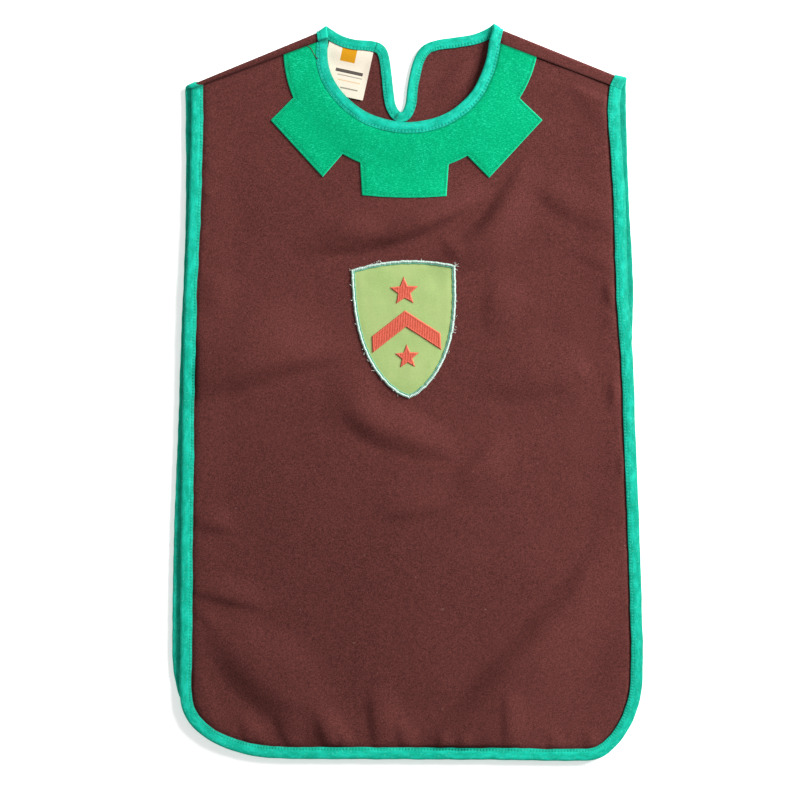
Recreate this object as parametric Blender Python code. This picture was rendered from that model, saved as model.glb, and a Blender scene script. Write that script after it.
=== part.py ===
"""A child's knight tabard laid flat, front panel uppermost, neck towards +Y.

Two open-sided panels meet at the shoulders. Their edges are bound with folded tape. The front
carries a felt collar with square tabs and a shield patch. The back has a short slit at the neck
and a sewn-in label, and its shoulders roll over the top fold to the seams on the front.

Each panel is drawn once as a flat cut, and everything sewn to it is cut from the same triangles
and moved out from the cloth, so no two layers can cross. Lengths are in millimetres, and become
metres when the meshes are made. X runs across the tabard, Y up it, and Z out of the table.
"""
import math
from collections import namedtuple

import bmesh
import bpy
import numpy as np
from mathutils import Vector
from mathutils.geometry import delaunay_2d_cdt

MM = 0.001

# Thickness of each layer, and the gap between layers that touch
CLOTH = 1.1
TAPE = 1.0
FELT = 1.2
PATCH = 1.0
BORDER = 1.4
STITCHED = 1.0
LABEL = 1.0
GAP = 0.3

# Width of the binding tape that shows on each edge
EDGE_TAPE_WIDTH = 11.0
FRONT_NECK_TAPE_WIDTH = 10.5
BACK_NECK_TAPE_WIDTH = 9.6

# Heights of the middle of the cloth above the table
HALF_TAPE = CLOTH / 2 + GAP + TAPE
BACK_EDGE_HEIGHT = HALF_TAPE
BACK_HEIGHT = CLOTH / 2
FRONT_EDGE_HEIGHT = 3 * HALF_TAPE + GAP
FRONT_LOWEST = 1.5 * CLOTH + GAP
FRONT_AIR = 1.2
FOLD_RADIUS = (FRONT_EDGE_HEIGHT - BACK_EDGE_HEIGHT) / 2
FOLD_STEPS = 5

# How far the lines of a shoulder fold run past its ends, and the share of an edge's length
# over the fold that the edge runs on past its seam
FOLD_OVERRUN = 26.0
SEAM_OVERRUN = 0.3

# How far in from the edge each panel stays at its edge height, and the width of the slope inwards
FRONT_EDGE_FLAT = 15.0
FRONT_EDGE_SLOPE = 24.0
BACK_EDGE_FLAT = 12.5
BACK_EDGE_SLOPE = 15.0

# Spacing of the points that make the meshes
FRONT_GRID = 17.0
BACK_GRID = 25.0
EDGE_SPACING = 22.0
NECK_SPACING = 12.0
GRID_CLEARANCE = 0.45
GRID_CLEARANCE_FROM_FOLDS = 0.55
SAG = 0.3
MERGE = 0.01
SHARP_ANGLE = math.radians(40)

# Outer edges of the binding at a height up the tabard
Section = namedtuple("Section", "y left right")
FRONT_SECTIONS = [
    Section(y=284, left=-194.7, right=194.4),
    Section(y=272, left=-194.8, right=192.4),
    Section(y=254, left=-194.8, right=191.1),
    Section(y=173, left=-196.7, right=196.1),
    Section(y=83, left=-200.6, right=198.8),
    Section(y=29, left=-201.9, right=203.0),
    Section(y=-25, left=-203.0, right=204.8),
    Section(y=-115, left=-203.9, right=208.4),
    Section(y=-187, left=-204.6, right=210.8),
    Section(y=-241, left=-204.9, right=211.9),
]
BACK_SECTIONS = [
    Section(y=263, left=-200.2, right=197.0),
    Section(y=173, left=-199.9, right=199.6),
    Section(y=119, left=-201.2, right=202.6),
    Section(y=83, left=-202.8, right=203.6),
    Section(y=29, left=-204.9, right=201.8),
    Section(y=-25, left=-206.6, right=201.4),
    Section(y=-115, left=-210.2, right=203.6),
    Section(y=-187, left=-211.8, right=206.4),
]

# Rounded bottom corners, each a quarter of an oval that is squarer for a higher power
Corner = namedtuple("Corner", "x y reach_x reach_y power")
FRONT_LEFT_CORNER = Corner(x=-107.9, y=-271.6, reach_x=97.3, reach_y=58.3, power=2.1)
FRONT_RIGHT_CORNER = Corner(x=164.3, y=-259.0, reach_x=47.2, reach_y=72.3, power=1.76)
BACK_LEFT_CORNER = Corner(x=-112.0, y=-232.0, reach_x=100.0, reach_y=94.0, power=2.4)
BACK_RIGHT_CORNER = Corner(x=150.0, y=-245.0, reach_x=58.5, reach_y=82.0, power=1.8)
CORNER_STEPS = 8

# Edges of the front neckline at a height up the tabard, and its lowest point
FRONT_NECK_SECTIONS = [
    Section(y=330, left=-69.6, right=76.6),
    Section(y=318, left=-71.2, right=73.8),
    Section(y=300, left=-71.8, right=70.6),
    Section(y=286, left=-68.6, right=65.6),
    Section(y=270, left=-58.6, right=57.0),
    Section(y=255, left=-41.4, right=41.2),
    Section(y=247, left=-24.0, right=24.4),
]
NECK_LOW_POINT = Vector((0.0, 243.2))

# Edge of the back neckline from right to left, down one side of the slit and up the other
NeckPoint = namedtuple("NeckPoint", "x y")
BACK_NECK = [
    NeckPoint(x=64.7, y=323.3),
    NeckPoint(x=50.6, y=318.1),
    NeckPoint(x=34.1, y=316.4),
    NeckPoint(x=20.0, y=312.7),
    NeckPoint(x=10.5, y=304.4),
    NeckPoint(x=4.7, y=292.7),
    NeckPoint(x=1.2, y=276.1),
    NeckPoint(x=-1.6, y=258.6),
    NeckPoint(x=-5.9, y=252.6),
    NeckPoint(x=-10.3, y=258.6),
    NeckPoint(x=-12.6, y=272.0),
    NeckPoint(x=-14.4, y=288.0),
    NeckPoint(x=-16.9, y=301.0),
    NeckPoint(x=-22.8, y=311.4),
    NeckPoint(x=-33.0, y=316.8),
    NeckPoint(x=-55.4, y=319.0),
    NeckPoint(x=-67.1, y=323.3),
]

# Each shoulder as seen from above. The top fold runs from near the neck to near the arm, the
# strip is how far the back panel comes over onto the front, and tip, peak and the two seam
# points are where the outer edges of the binding meet the fold and the seam.
Shoulder = namedtuple(
    "Shoulder", "neck arm strip_at_neck strip_at_arm tip peak seam_at_arm seam_at_neck"
)
LEFT_SHOULDER = Shoulder(
    neck=Vector((-83.3, 323.3)),
    arm=Vector((-185.9, 281.0)),
    strip_at_neck=8.5,
    strip_at_arm=4.9,
    tip=Vector((-199.9, 274.9)),
    peak=Vector((-72.5, 330.0)),
    seam_at_arm=Vector((-194.8, 272.4)),
    seam_at_neck=Vector((-71.2, 318.6)),
)
RIGHT_SHOULDER = Shoulder(
    neck=Vector((91.3, 324.2)),
    arm=Vector((184.9, 286.4)),
    strip_at_neck=12.5,
    strip_at_arm=10.4,
    tip=Vector((197.7, 282.5)),
    peak=Vector((76.9, 331.8)),
    seam_at_arm=Vector((192.5, 272.2)),
    seam_at_neck=Vector((73.8, 317.6)),
)
SHOULDERS = (LEFT_SHOULDER, RIGHT_SHOULDER)

# Felt collar: a ring round the neck, with tabs given by the angles of their roots and corners
COLLAR_CENTRE = Vector((-1.0, 310.0))
COLLAR_RADIUS = 111.5
COLLAR_TAB_RADIUS = 138.6
COLLAR_STEP = 8.0
Tab = namedtuple("Tab", "root_start corner_start corner_end root_end bow")
COLLAR_TABS = [
    Tab(root_start=203.8, corner_start=208.1, corner_end=237.0, root_end=238.9, bow=0.0),
    Tab(root_start=248.0, corner_start=253.2, corner_end=285.0, root_end=289.9, bow=1.8),
    Tab(root_start=299.4, corner_start=302.4, corner_end=332.0, root_end=336.0, bow=0.0),
]
StrapEnd = namedtuple("StrapEnd", "angle radius")
LEFT_STRAP = StrapEnd(angle=172.0, radius=110.5)
RIGHT_STRAP = StrapEnd(angle=368.0, radius=121.0)

# Shield patch, and the stitched design on it, placed from the middle of the shield's top edge
SHIELD_TOP = Vector((-4.4, 118.6))
SHIELD_TILT = math.radians(2.6)
SHIELD_WIDTH = 94.0
SHIELD_HEIGHT = 124.4
SHIELD_CROWN = 6.4
SHIELD_TAPER = 2.9
SHIELD_BELLY = 0.72
SHIELD_STEPS = 11
BORDER_WIDTH = 3.4
CHEVRON_WIDTH = 62.0
CHEVRON_RISE = 22.0
CHEVRON_BAND = 15.0
CHEVRON_DROP = 45.0
STAR_WAIST = 0.45
STAR_POINTS = 5
Star = namedtuple("Star", "name down radius")
STARS = [
    Star(name="star_high", down=28.0, radius=13.5),
    Star(name="star_low", down=87.0, radius=11.5),
]

# Label sewn into the left of the back neck, lying on the inside of the back panel
LABEL_CENTRE = Vector((-55.2, 291.2))
LABEL_WIDTH = 41.0
LABEL_LENGTH = 48.6
LABEL_TILT = math.radians(-12.5)
LABEL_REACH = 0.75

# The largest folds of the front panel: a ridge rises and a trough falls. Each runs from its
# start through its middle to its end, and fades out over its half width.
Fold = namedtuple("Fold", "x0 y0 x1 y1 x2 y2 half_width rise")
FOLDS = [
    Fold(x0=-92, y0=118, x1=-20, y1=138, x2=64, y2=164, half_width=17, rise=-1.2),
    Fold(x0=-60, y0=158, x1=-10, y1=163, x2=44, y2=182, half_width=17, rise=1.5),
    Fold(x0=30, y0=128, x1=72, y1=154, x2=93, y2=194, half_width=14, rise=-1.2),
    Fold(x0=104, y0=205, x1=138, y1=192, x2=178, y2=158, half_width=15, rise=1.8),
    Fold(x0=118, y0=179, x1=142, y1=159, x2=174, y2=148, half_width=15, rise=-1.0),
    Fold(x0=70, y0=108, x1=72, y1=80, x2=71, y2=52, half_width=13, rise=-0.9),
    Fold(x0=164, y0=96, x1=168, y1=0, x2=164, y2=-112, half_width=17, rise=1.2),
    Fold(x0=-186, y0=-12, x1=-134, y1=19, x2=-64, y2=33, half_width=18, rise=-1.2),
    Fold(x0=-54, y0=22, x1=-24, y1=-13, x2=30, y2=-36, half_width=17, rise=2.6),
    Fold(x0=-72, y0=-28, x1=-27, y1=-43, x2=20, y2=-60, half_width=16, rise=-1.2),
    Fold(x0=28, y0=-78, x1=48, y1=-62, x2=62, y2=-42, half_width=13, rise=-0.9),
    Fold(x0=64, y0=0, x1=108, y1=4, x2=152, y2=12, half_width=14, rise=-0.8),
    Fold(x0=-192, y0=-122, x1=-170, y1=-127, x2=-142, y2=-117, half_width=13, rise=-1.1),
    Fold(x0=-192, y0=-184, x1=-164, y1=-191, x2=-132, y2=-199, half_width=14, rise=-1.2),
    Fold(x0=-162, y0=-206, x1=-116, y1=-252, x2=-62, y2=-292, half_width=18, rise=2.4),
    Fold(x0=-176, y0=-224, x1=-134, y1=-267, x2=-72, y2=-312, half_width=17, rise=-1.2),
    Fold(x0=24, y0=-306, x1=106, y1=-231, x2=170, y2=-146, half_width=20, rise=-1.2),
    Fold(x0=60, y0=-300, x1=134, y1=-232, x2=180, y2=-160, half_width=18, rise=1.3),
]
FOLD_PIECES = 10
FOLD_FLANK = 0.55
FOLD_SPACING = 12.0
FOLD_CLEARANCE = 6.5

# Each cloth's colour, in levels of 0 to 255, and its roughness
Look = namedtuple("Look", "red green blue roughness")
BROWN = Look(red=104, green=58, blue=54, roughness=0.85)
TEAL = Look(red=20, green=200, blue=160, roughness=0.55)
SHADED_TEAL = Look(red=6, green=160, blue=120, roughness=0.55)
FELT_GREEN = Look(red=4, green=178, blue=120, roughness=0.95)
SAGE = Look(red=172, green=194, blue=120, roughness=0.9)
MINT = Look(red=176, green=228, blue=204, roughness=0.6)
CORAL = Look(red=214, green=86, blue=66, roughness=0.6)
CREAM = Look(red=250, green=240, blue=222, roughness=0.8)


def linear(level):
    """A colour level of 0 to 255 as linear light."""
    level = level / 255
    return level / 12.92 if level <= 0.04045 else ((level + 0.055) / 1.055) ** 2.4


def material(name, look):
    """A plain surface of one colour."""
    made = bpy.data.materials.new(name)
    made.use_nodes = True
    surface = made.node_tree.nodes["Principled BSDF"]
    shown = (linear(look.red), linear(look.green), linear(look.blue), 1)
    surface.inputs["Base Color"].default_value = shown
    surface.inputs["Roughness"].default_value = look.roughness
    surface.inputs["Metallic"].default_value = 0
    made.diffuse_color = shown
    return made


def left_of(direction):
    """The direction turned a quarter turn to the left."""
    return Vector((-direction.y, direction.x))


def ease(value):
    """A smooth step from 0 to 1."""
    value = min(max(value, 0.0), 1.0)
    return value * value * (3 - 2 * value)


def curve_point(before, start, end, after, share):
    """A point between start and end on the smooth curve through four points."""
    knots = [0.0]
    for first, second in ((before, start), (start, end), (end, after)):
        knots.append(knots[-1] + math.sqrt((second - first).length))
    at = knots[1] + share * (knots[2] - knots[1])
    row = [before, start, end, after]
    for span in (1, 2):
        row = [
            row[k].lerp(row[k + 1], (at - knots[k]) / (knots[k + span] - knots[k]))
            for k in range(len(row) - 1)
        ]
    return row[0].lerp(row[1], share)


def smooth_path(points, step=1.0):
    """Closely spaced points on a smooth curve through the given points."""
    first = points[0] * 2 - points[1]
    last = points[-1] * 2 - points[-2]
    row = [first, *points, last]
    path = []
    for before, start, end, after in zip(row, row[1:], row[2:], row[3:]):
        count = max(1, round((end - start).length / step))
        path += [curve_point(before, start, end, after, k / count) for k in range(count)]
    return path + [points[-1]]


def sag_between(path, first, last):
    """How far the path strays from the straight line between two of its points."""
    chord = path[last] - path[first]
    across = left_of(chord) / chord.length
    return max(abs((path[k] - path[first]).dot(across)) for k in range(first, last + 1))


def thinned(path, spacing):
    """Indices of the few points that keep the path's shape, at most a spacing apart."""
    kept = [0]
    for k in range(2, len(path)):
        start = kept[-1]
        too_far = (path[k] - path[start]).length > spacing
        if k > start + 1 and (too_far or sag_between(path, start, k) > SAG):
            kept.append(k - 1)
    return kept + [len(path) - 1]


Run = namedtuple("Run", "points inward")


def edge_run(points, spacing):
    """An edge with the cloth on its left: its points, and the way into the cloth at each."""
    path = smooth_path(points)
    kept = thinned(path, spacing)
    inward = []
    for k in kept:
        along = path[min(k + 1, len(path) - 1)] - path[max(k - 1, 0)]
        inward.append(left_of(along.normalized()))
    return Run([path[k] for k in kept], inward)


def side_of(line, point):
    """Positive where the point lies to the left of the line."""
    start, end = line
    return left_of(end - start).normalized().dot(point - start)


def crossing(line, inside, outside):
    """Where the way from inside to outside meets the line."""
    near = side_of(line, inside)
    far = side_of(line, outside)
    return inside.lerp(outside, near / (near - far))


def trimmed(path, line):
    """The stretch of the path to the left of the line, ending on it."""
    kept = []
    for start, end in zip(path, path[1:]):
        start_in = side_of(line, start) > 0
        end_in = side_of(line, end) > 0
        if start_in:
            kept.append(start)
        if start_in and not end_in:
            kept.append(crossing(line, start, end))
        if end_in and not start_in:
            kept.append(crossing(line, end, start))
    if side_of(line, path[-1]) > 0:
        kept.append(path[-1])
    return kept


def inset_run(run, distance, seams):
    """The run moved into the cloth, between the shoulder seams."""
    path = [point + way * distance for point, way in zip(run.points, run.inward)]
    for seam in seams:
        path = trimmed(path, seam)
    return path


def inset_outline(outline, distance):
    """A closed outline that runs leftwards round its shape, moved in with mitred corners."""
    moved = []
    for k, point in enumerate(outline):
        arriving = left_of((point - outline[k - 1]).normalized())
        leaving = left_of((outline[(k + 1) % len(outline)] - point).normalized())
        middle = (arriving + leaving).normalized()
        moved.append(point + middle * (distance / middle.dot(arriving)))
    return moved


def band(run, start, end, seams):
    """The closed strip of a run between two distances from its edge."""
    return inset_run(run, start, seams) + inset_run(run, end, seams)[::-1]


def along_fold(shoulder):
    """The way along the shoulder's top fold, from the neck to the arm."""
    return (shoulder.arm - shoulder.neck).normalized()


def over_fold(shoulder):
    """The way square across the shoulder's top fold, away from the panel."""
    across = left_of(along_fold(shoulder))
    return across if across.y > 0 else -across


def past_fold(shoulder, point):
    """How far a point of the flat cut lies past the line where the fold begins."""
    start = shoulder.neck - over_fold(shoulder) * (FOLD_RADIUS + CLOTH / 2)
    return (point - start).dot(over_fold(shoulder))


def unfolded(shoulder, seen):
    """The place in the flat cut of a point seen on the strip that lies over the front."""
    depth = -past_fold(shoulder, seen)
    return seen + over_fold(shoulder) * (math.pi * FOLD_RADIUS + 2 * depth)


def on_crest(shoulder, seen):
    """The place in the flat cut, half way round the fold, of a point seen on its crest."""
    shift = math.pi * FOLD_RADIUS / 2 - past_fold(shoulder, seen)
    return seen + over_fold(shoulder) * shift


def seam_seen(shoulder, shift):
    """The shoulder seam seen on the front, moved down by a shift, with the panel on its left."""
    across = over_fold(shoulder)
    neck = shoulder.neck - across * (shoulder.strip_at_neck + shift)
    arm = shoulder.arm - across * (shoulder.strip_at_arm + shift)
    return (neck, arm) if arm.x < neck.x else (arm, neck)


def seam_unfolded(shoulder):
    """The shoulder seam in the flat cut of the back, with the panel on its left."""
    start, end = seam_seen(shoulder, -GAP / 2)
    return unfolded(shoulder, start), unfolded(shoulder, end)


def turned_edge(shoulder, crest, seam_end):
    """An edge of the back from its crest on the fold to just past its seam, in the flat cut."""
    top = on_crest(shoulder, crest)
    end = unfolded(shoulder, seam_end)
    return [top, end, end + (end - top) * SEAM_OVERRUN]


def corner_points(corner, side):
    """Points of a rounded bottom corner, from its side edge down to the hem."""
    points = []
    for k in range(CORNER_STEPS + 1):
        angle = math.pi / 2 * k / CORNER_STEPS
        across = corner.reach_x * math.cos(angle) ** (2 / corner.power)
        down = corner.reach_y * math.sin(angle) ** (2 / corner.power)
        points.append(Vector((corner.x + side * across, corner.y - down)))
    return points


def sides_and_hem(sections, left_corner, right_corner):
    """Points down the left edge, along the hem and up the right edge."""
    left = [Vector((row.left, row.y)) for row in sections]
    right = [Vector((row.right, row.y)) for row in sections]
    left += corner_points(left_corner, -1)
    right += corner_points(right_corner, 1)
    hem = [left[-1].lerp(right[-1], share) for share in (1 / 3, 2 / 3)]
    return left + hem + right[::-1]


def front_edges():
    """The front panel's two bound edges."""
    sides = sides_and_hem(FRONT_SECTIONS, FRONT_LEFT_CORNER, FRONT_RIGHT_CORNER)
    right = [Vector((row.right, row.y)) for row in FRONT_NECK_SECTIONS]
    left = [Vector((row.left, row.y)) for row in FRONT_NECK_SECTIONS]
    neck = right + [NECK_LOW_POINT] + left[::-1]
    return edge_run(sides, EDGE_SPACING), edge_run(neck, NECK_SPACING)


def back_edges():
    """The back panel's two bound edges, which run on over the shoulder folds."""
    start = turned_edge(LEFT_SHOULDER, LEFT_SHOULDER.tip, LEFT_SHOULDER.seam_at_arm)
    end = turned_edge(RIGHT_SHOULDER, RIGHT_SHOULDER.tip, RIGHT_SHOULDER.seam_at_arm)
    sides = sides_and_hem(BACK_SECTIONS, BACK_LEFT_CORNER, BACK_RIGHT_CORNER)
    neck_start = turned_edge(RIGHT_SHOULDER, RIGHT_SHOULDER.peak, RIGHT_SHOULDER.seam_at_neck)
    neck_end = turned_edge(LEFT_SHOULDER, LEFT_SHOULDER.peak, LEFT_SHOULDER.seam_at_neck)
    neck = [Vector(point) for point in BACK_NECK]
    return (
        edge_run(start[::-1] + sides + end, EDGE_SPACING),
        edge_run(neck_start[::-1] + neck + neck_end, NECK_SPACING),
    )


def on_collar(angle, radius):
    """A point round the collar's centre."""
    angle = math.radians(angle)
    return COLLAR_CENTRE + Vector((math.cos(angle), math.sin(angle))) * radius


def collar_edge(start, start_radius, end, end_radius):
    """Points round the collar's ring between two angles."""
    steps = max(1, round((end - start) / COLLAR_STEP))
    points = []
    for k in range(steps + 1):
        share = k / steps
        radius = start_radius + (end_radius - start_radius) * share
        points.append(on_collar(start + (end - start) * share, radius))
    return points


def tab_edge(tab):
    """The outer edge of a collar tab, bowed a little at its middle where it has a bow."""
    start = on_collar(tab.corner_start, COLLAR_TAB_RADIUS)
    end = on_collar(tab.corner_end, COLLAR_TAB_RADIUS)
    if not tab.bow:
        return [start, end]
    middle = start.lerp(end, 0.5)
    return [start, middle + (middle - COLLAR_CENTRE).normalized() * tab.bow, end]


def collar_outline(neck_edge):
    """The felt collar from shoulder to shoulder, closed along the front neck binding."""
    points = []
    angle, radius = LEFT_STRAP
    for tab in COLLAR_TABS:
        points += collar_edge(angle, radius, tab.root_start, COLLAR_RADIUS)
        points += tab_edge(tab)
        angle, radius = tab.root_end, COLLAR_RADIUS
    points += collar_edge(angle, radius, *RIGHT_STRAP)
    return points + neck_edge


def on_shield(across, down):
    """A point of the front panel from its place on the shield."""
    place = Vector((across, -down))
    turn = Vector((math.cos(SHIELD_TILT), math.sin(SHIELD_TILT)))
    return SHIELD_TOP + turn * place.x + left_of(turn) * place.y


def shield_outline():
    """The shield from its top right corner along the crown, and down and round its point."""
    crown = []
    for k in range(SHIELD_STEPS // 2):
        share = 1 - 2 * k / (SHIELD_STEPS // 2)
        lift = SHIELD_CROWN * share * share
        crown.append(on_shield(share * SHIELD_WIDTH / 2, lift))
    left, right = [], []
    for k in range(SHIELD_STEPS):
        share = k / SHIELD_STEPS
        depth = SHIELD_CROWN + (SHIELD_HEIGHT - SHIELD_CROWN) * share
        half = SHIELD_WIDTH / 2 * (1 - share**SHIELD_TAPER) ** SHIELD_BELLY
        left.append(on_shield(-half, depth))
        right.append(on_shield(half, depth))
    point = on_shield(0, SHIELD_HEIGHT)
    return crown + left + [point] + right[:0:-1]


def chevron_outline():
    """An upturned V of one band across the shield."""
    half = CHEVRON_WIDTH / 2
    top = [(half, CHEVRON_RISE), (0, 0), (-half, CHEVRON_RISE)]
    lower = [(across, down + CHEVRON_BAND) for across, down in top]
    return [on_shield(across, CHEVRON_DROP + down) for across, down in top + lower[::-1]]


def star_outline(star):
    """A five-pointed star on the shield, one point upwards."""
    points = []
    for k in range(2 * STAR_POINTS):
        radius = star.radius if k % 2 == 0 else star.radius * STAR_WAIST
        angle = math.pi / 2 + math.pi * k / STAR_POINTS
        across = radius * math.cos(angle)
        points.append(on_shield(across, star.down - radius * math.sin(angle)))
    return points


def label_outline():
    """The label's rectangle, lying askew below the back neck binding."""
    turn = Vector((math.cos(LABEL_TILT), math.sin(LABEL_TILT)))
    across = turn * LABEL_WIDTH / 2
    up = left_of(turn) * LABEL_LENGTH / 2
    ways = (across + up, up - across, -across - up, across - up)
    return [LABEL_CENTRE + way for way in ways]


def distances(points, paths):
    """The distance of each point to the nearest stretch of any of the paths."""
    places = np.array([(p.x, p.y) for p in points])
    nearest = np.full(len(places), np.inf)
    for path in paths:
        row = np.array([(p.x, p.y) for p in path])
        for start, end in zip(row[:-1], row[1:]):
            along = end - start
            length = along @ along
            if length == 0:
                continue
            share = np.clip((places - start) @ along / length, 0, 1)
            away = places - start - share[:, None] * along
            nearest = np.minimum(nearest, np.hypot(away[:, 0], away[:, 1]))
    return nearest


def inside(points, outline):
    """Which of the points lie inside a closed outline."""
    places = np.array([(p.x, p.y) for p in points])
    found = np.zeros(len(places), dtype=bool)
    row = [(p.x, p.y) for p in outline]
    for (ax, ay), (bx, by) in zip(row, row[1:] + row[:1]):
        if ay == by:
            continue
        spans = (places[:, 1] < ay) != (places[:, 1] < by)
        meets = ax + (places[:, 1] - ay) * (bx - ax) / (by - ay)
        found ^= spans & (places[:, 0] < meets)
    return found


def fold_path(fold, pieces):
    """Points along a fold, on a smooth arch through its middle."""
    start, middle, end = (
        Vector((fold.x0, fold.y0)),
        Vector((fold.x1, fold.y1)),
        Vector((fold.x2, fold.y2)),
    )
    pull = middle * 2 - (start + end) / 2
    shares = [k / pieces for k in range(pieces + 1)]
    return [start.lerp(pull, t).lerp(pull.lerp(end, t), t) for t in shares]


def fold_points(fold):
    """Points along a fold's crest and half way down both of its flanks."""
    length = math.hypot(fold.x2 - fold.x0, fold.y2 - fold.y0)
    path = fold_path(fold, round(length / FOLD_SPACING))
    points = []
    for k, point in enumerate(path):
        along = path[min(k + 1, len(path) - 1)] - path[max(k - 1, 0)]
        across = left_of(along.normalized()) * fold.half_width * FOLD_FLANK
        points += [point - across, point, point + across]
    return points


def fold_lift(points):
    """How far the folds raise or lower each point of the front panel."""
    lift = np.zeros(len(points))
    for fold in FOLDS:
        path = fold_path(fold, FOLD_PIECES)
        near = distances(points, [path]) / fold.half_width
        rounded = np.clip(1 - near * near, 0, 1) ** 2
        lift += fold.rise * rounded
    return lift


def clear_points(points, outline, avoid, clearance):
    """The points inside an outline that are clear of the paths in it and of each other."""
    free = inside(points, outline) & (distances(points, avoid) > clearance)
    kept = []
    for point, keep in zip(points, free):
        if keep and all((point - other).length > clearance for other in kept):
            kept.append(point)
    return kept


def grid_points(outline, spacing):
    """Staggered rows of points over the box of an outline."""
    row_height = spacing * math.sqrt(3) / 2
    low = Vector((min(p.x for p in outline), min(p.y for p in outline)))
    high = Vector((max(p.x for p in outline), max(p.y for p in outline)))
    points = []
    for row in range(int((high.y - low.y) / row_height) + 1):
        shift = spacing / 2 * (row % 2)
        for column in range(int((high.x - low.x) / spacing) + 1):
            points.append(low + Vector((column * spacing + shift, row * row_height)))
    return points


class Sheet:
    """One panel's flat cut in triangles, and the shape that it takes on the table."""

    def __init__(self, outlines, paths, loose, place):
        """Join closed outlines, open paths and loose points into triangles."""
        corners = []
        edges = []
        for path, closed in [(row, True) for row in outlines] + [(row, False) for row in paths]:
            first = len(corners)
            corners += path
            edges += [(k, k + 1) for k in range(first, len(corners) - 1)]
            if closed:
                edges.append((len(corners) - 1, first))
        joined = delaunay_2d_cdt(corners + loose, edges, [], 0, MERGE)
        self.points = joined[0]
        self.faces = [tuple(face) for face in joined[2]]
        self.middles = [sum((self.points[k] for k in f), Vector((0, 0))) / 3 for f in self.faces]
        self.place = place(self.points)

    def cut(self, outline, *without):
        """The triangles inside an outline, leaving out those inside the others."""
        kept = inside(self.middles, outline)
        for other in without:
            kept &= ~inside(self.middles, other)
        return [face for face, keep in zip(self.faces, kept) if keep]


def front_place(points, outline):
    """The front panel's shape: high along its edges, low inside, with its folds."""
    edge = distances(points, [outline + outline[:1]])
    lift = fold_lift(points)
    heights = []
    for distance, raised in zip(edge, lift):
        share = ease((distance - FRONT_EDGE_FLAT) / FRONT_EDGE_SLOPE)
        low = FRONT_LOWEST + max(FRONT_AIR + raised, 0)
        heights.append(FRONT_EDGE_HEIGHT + (low - FRONT_EDGE_HEIGHT) * share)

    def place(k, out):
        point = points[k]
        return Vector((point.x, point.y, heights[k] + out))

    return place


def folded_over(shoulder, point, past, out):
    """A point of the back past the start of a shoulder fold, rolled over onto the front."""
    across = over_fold(shoulder)
    start = point - across * past
    if past < math.pi * FOLD_RADIUS:
        angle = past / FOLD_RADIUS
        reach = (FOLD_RADIUS - out) * math.sin(angle)
        rise = FOLD_RADIUS - (FOLD_RADIUS - out) * math.cos(angle)
    else:
        reach = math.pi * FOLD_RADIUS - past
        rise = 2 * FOLD_RADIUS - out
    moved = start + across * reach
    return Vector((moved.x, moved.y, BACK_EDGE_HEIGHT + rise))


def back_place(points, runs):
    """The back panel's shape: flat on the table, its edges a little higher, its shoulders over."""
    edge = distances(points, [run.points for run in runs])

    def place(k, out):
        point = points[k]
        shoulder = LEFT_SHOULDER if point.x < 0 else RIGHT_SHOULDER
        past = past_fold(shoulder, point)
        if past > 0:
            return folded_over(shoulder, point, past, out)
        near = min(edge[k], -past)
        share = ease((near - BACK_EDGE_FLAT) / BACK_EDGE_SLOPE)
        height = BACK_EDGE_HEIGHT + (BACK_HEIGHT - BACK_EDGE_HEIGHT) * share
        return Vector((point.x, point.y, height + out))

    return place


def boundary(faces):
    """The edges that only one of the triangles has, in that triangle's direction."""
    edges = {(face[k - 1], face[k]) for face in faces for k in range(3)}
    return [edge for edge in edges if edge[::-1] not in edges]


class Solid:
    """A closed mesh made from a sheet's points, each moved out to one or more levels."""

    def __init__(self, sheet):
        self.sheet = sheet
        self.mesh = bmesh.new()
        self.corners = {}

    def corner(self, point, level):
        """The mesh's corner at a point of the sheet and a distance out from the cloth."""
        if (point, level) not in self.corners:
            place = self.sheet.place(point, level) * MM
            self.corners[point, level] = self.mesh.verts.new(place)
        return self.corners[point, level]

    def skin(self, faces, level, upwards):
        """Cover triangles of the sheet at one level."""
        for face in faces:
            row = face if upwards else face[::-1]
            self.mesh.faces.new([self.corner(k, level) for k in row])

    def wall(self, edge, start_levels, end_levels):
        """Close an edge of the sheet between the lowest and the highest of its levels."""
        start, end = edge
        row = [self.corner(start, start_levels[0])]
        row += [self.corner(end, level) for level in end_levels]
        row += [self.corner(start, level) for level in start_levels[:0:-1]]
        self.mesh.faces.new(row)

    def finish(self, name, surface):
        """Turn the mesh into a named object."""
        bmesh.ops.triangulate(self.mesh, faces=self.mesh.faces[:])
        data = bpy.data.meshes.new(name)
        self.mesh.to_mesh(data)
        self.mesh.free()
        data.shade_smooth()
        data.set_sharp_from_angle(angle=SHARP_ANGLE)
        data.materials.append(surface)
        made = bpy.data.objects.new(name, data)
        bpy.context.scene.collection.objects.link(made)


def layer(name, sheet, faces, low, high, surface):
    """A layer of even thickness between two distances out from the cloth."""
    solid = Solid(sheet)
    solid.skin(faces, high, True)
    solid.skin(faces, low, False)
    for edge in sorted(boundary(faces)):
        solid.wall(edge, (low, high), (low, high))
    solid.finish(name, surface)


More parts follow.
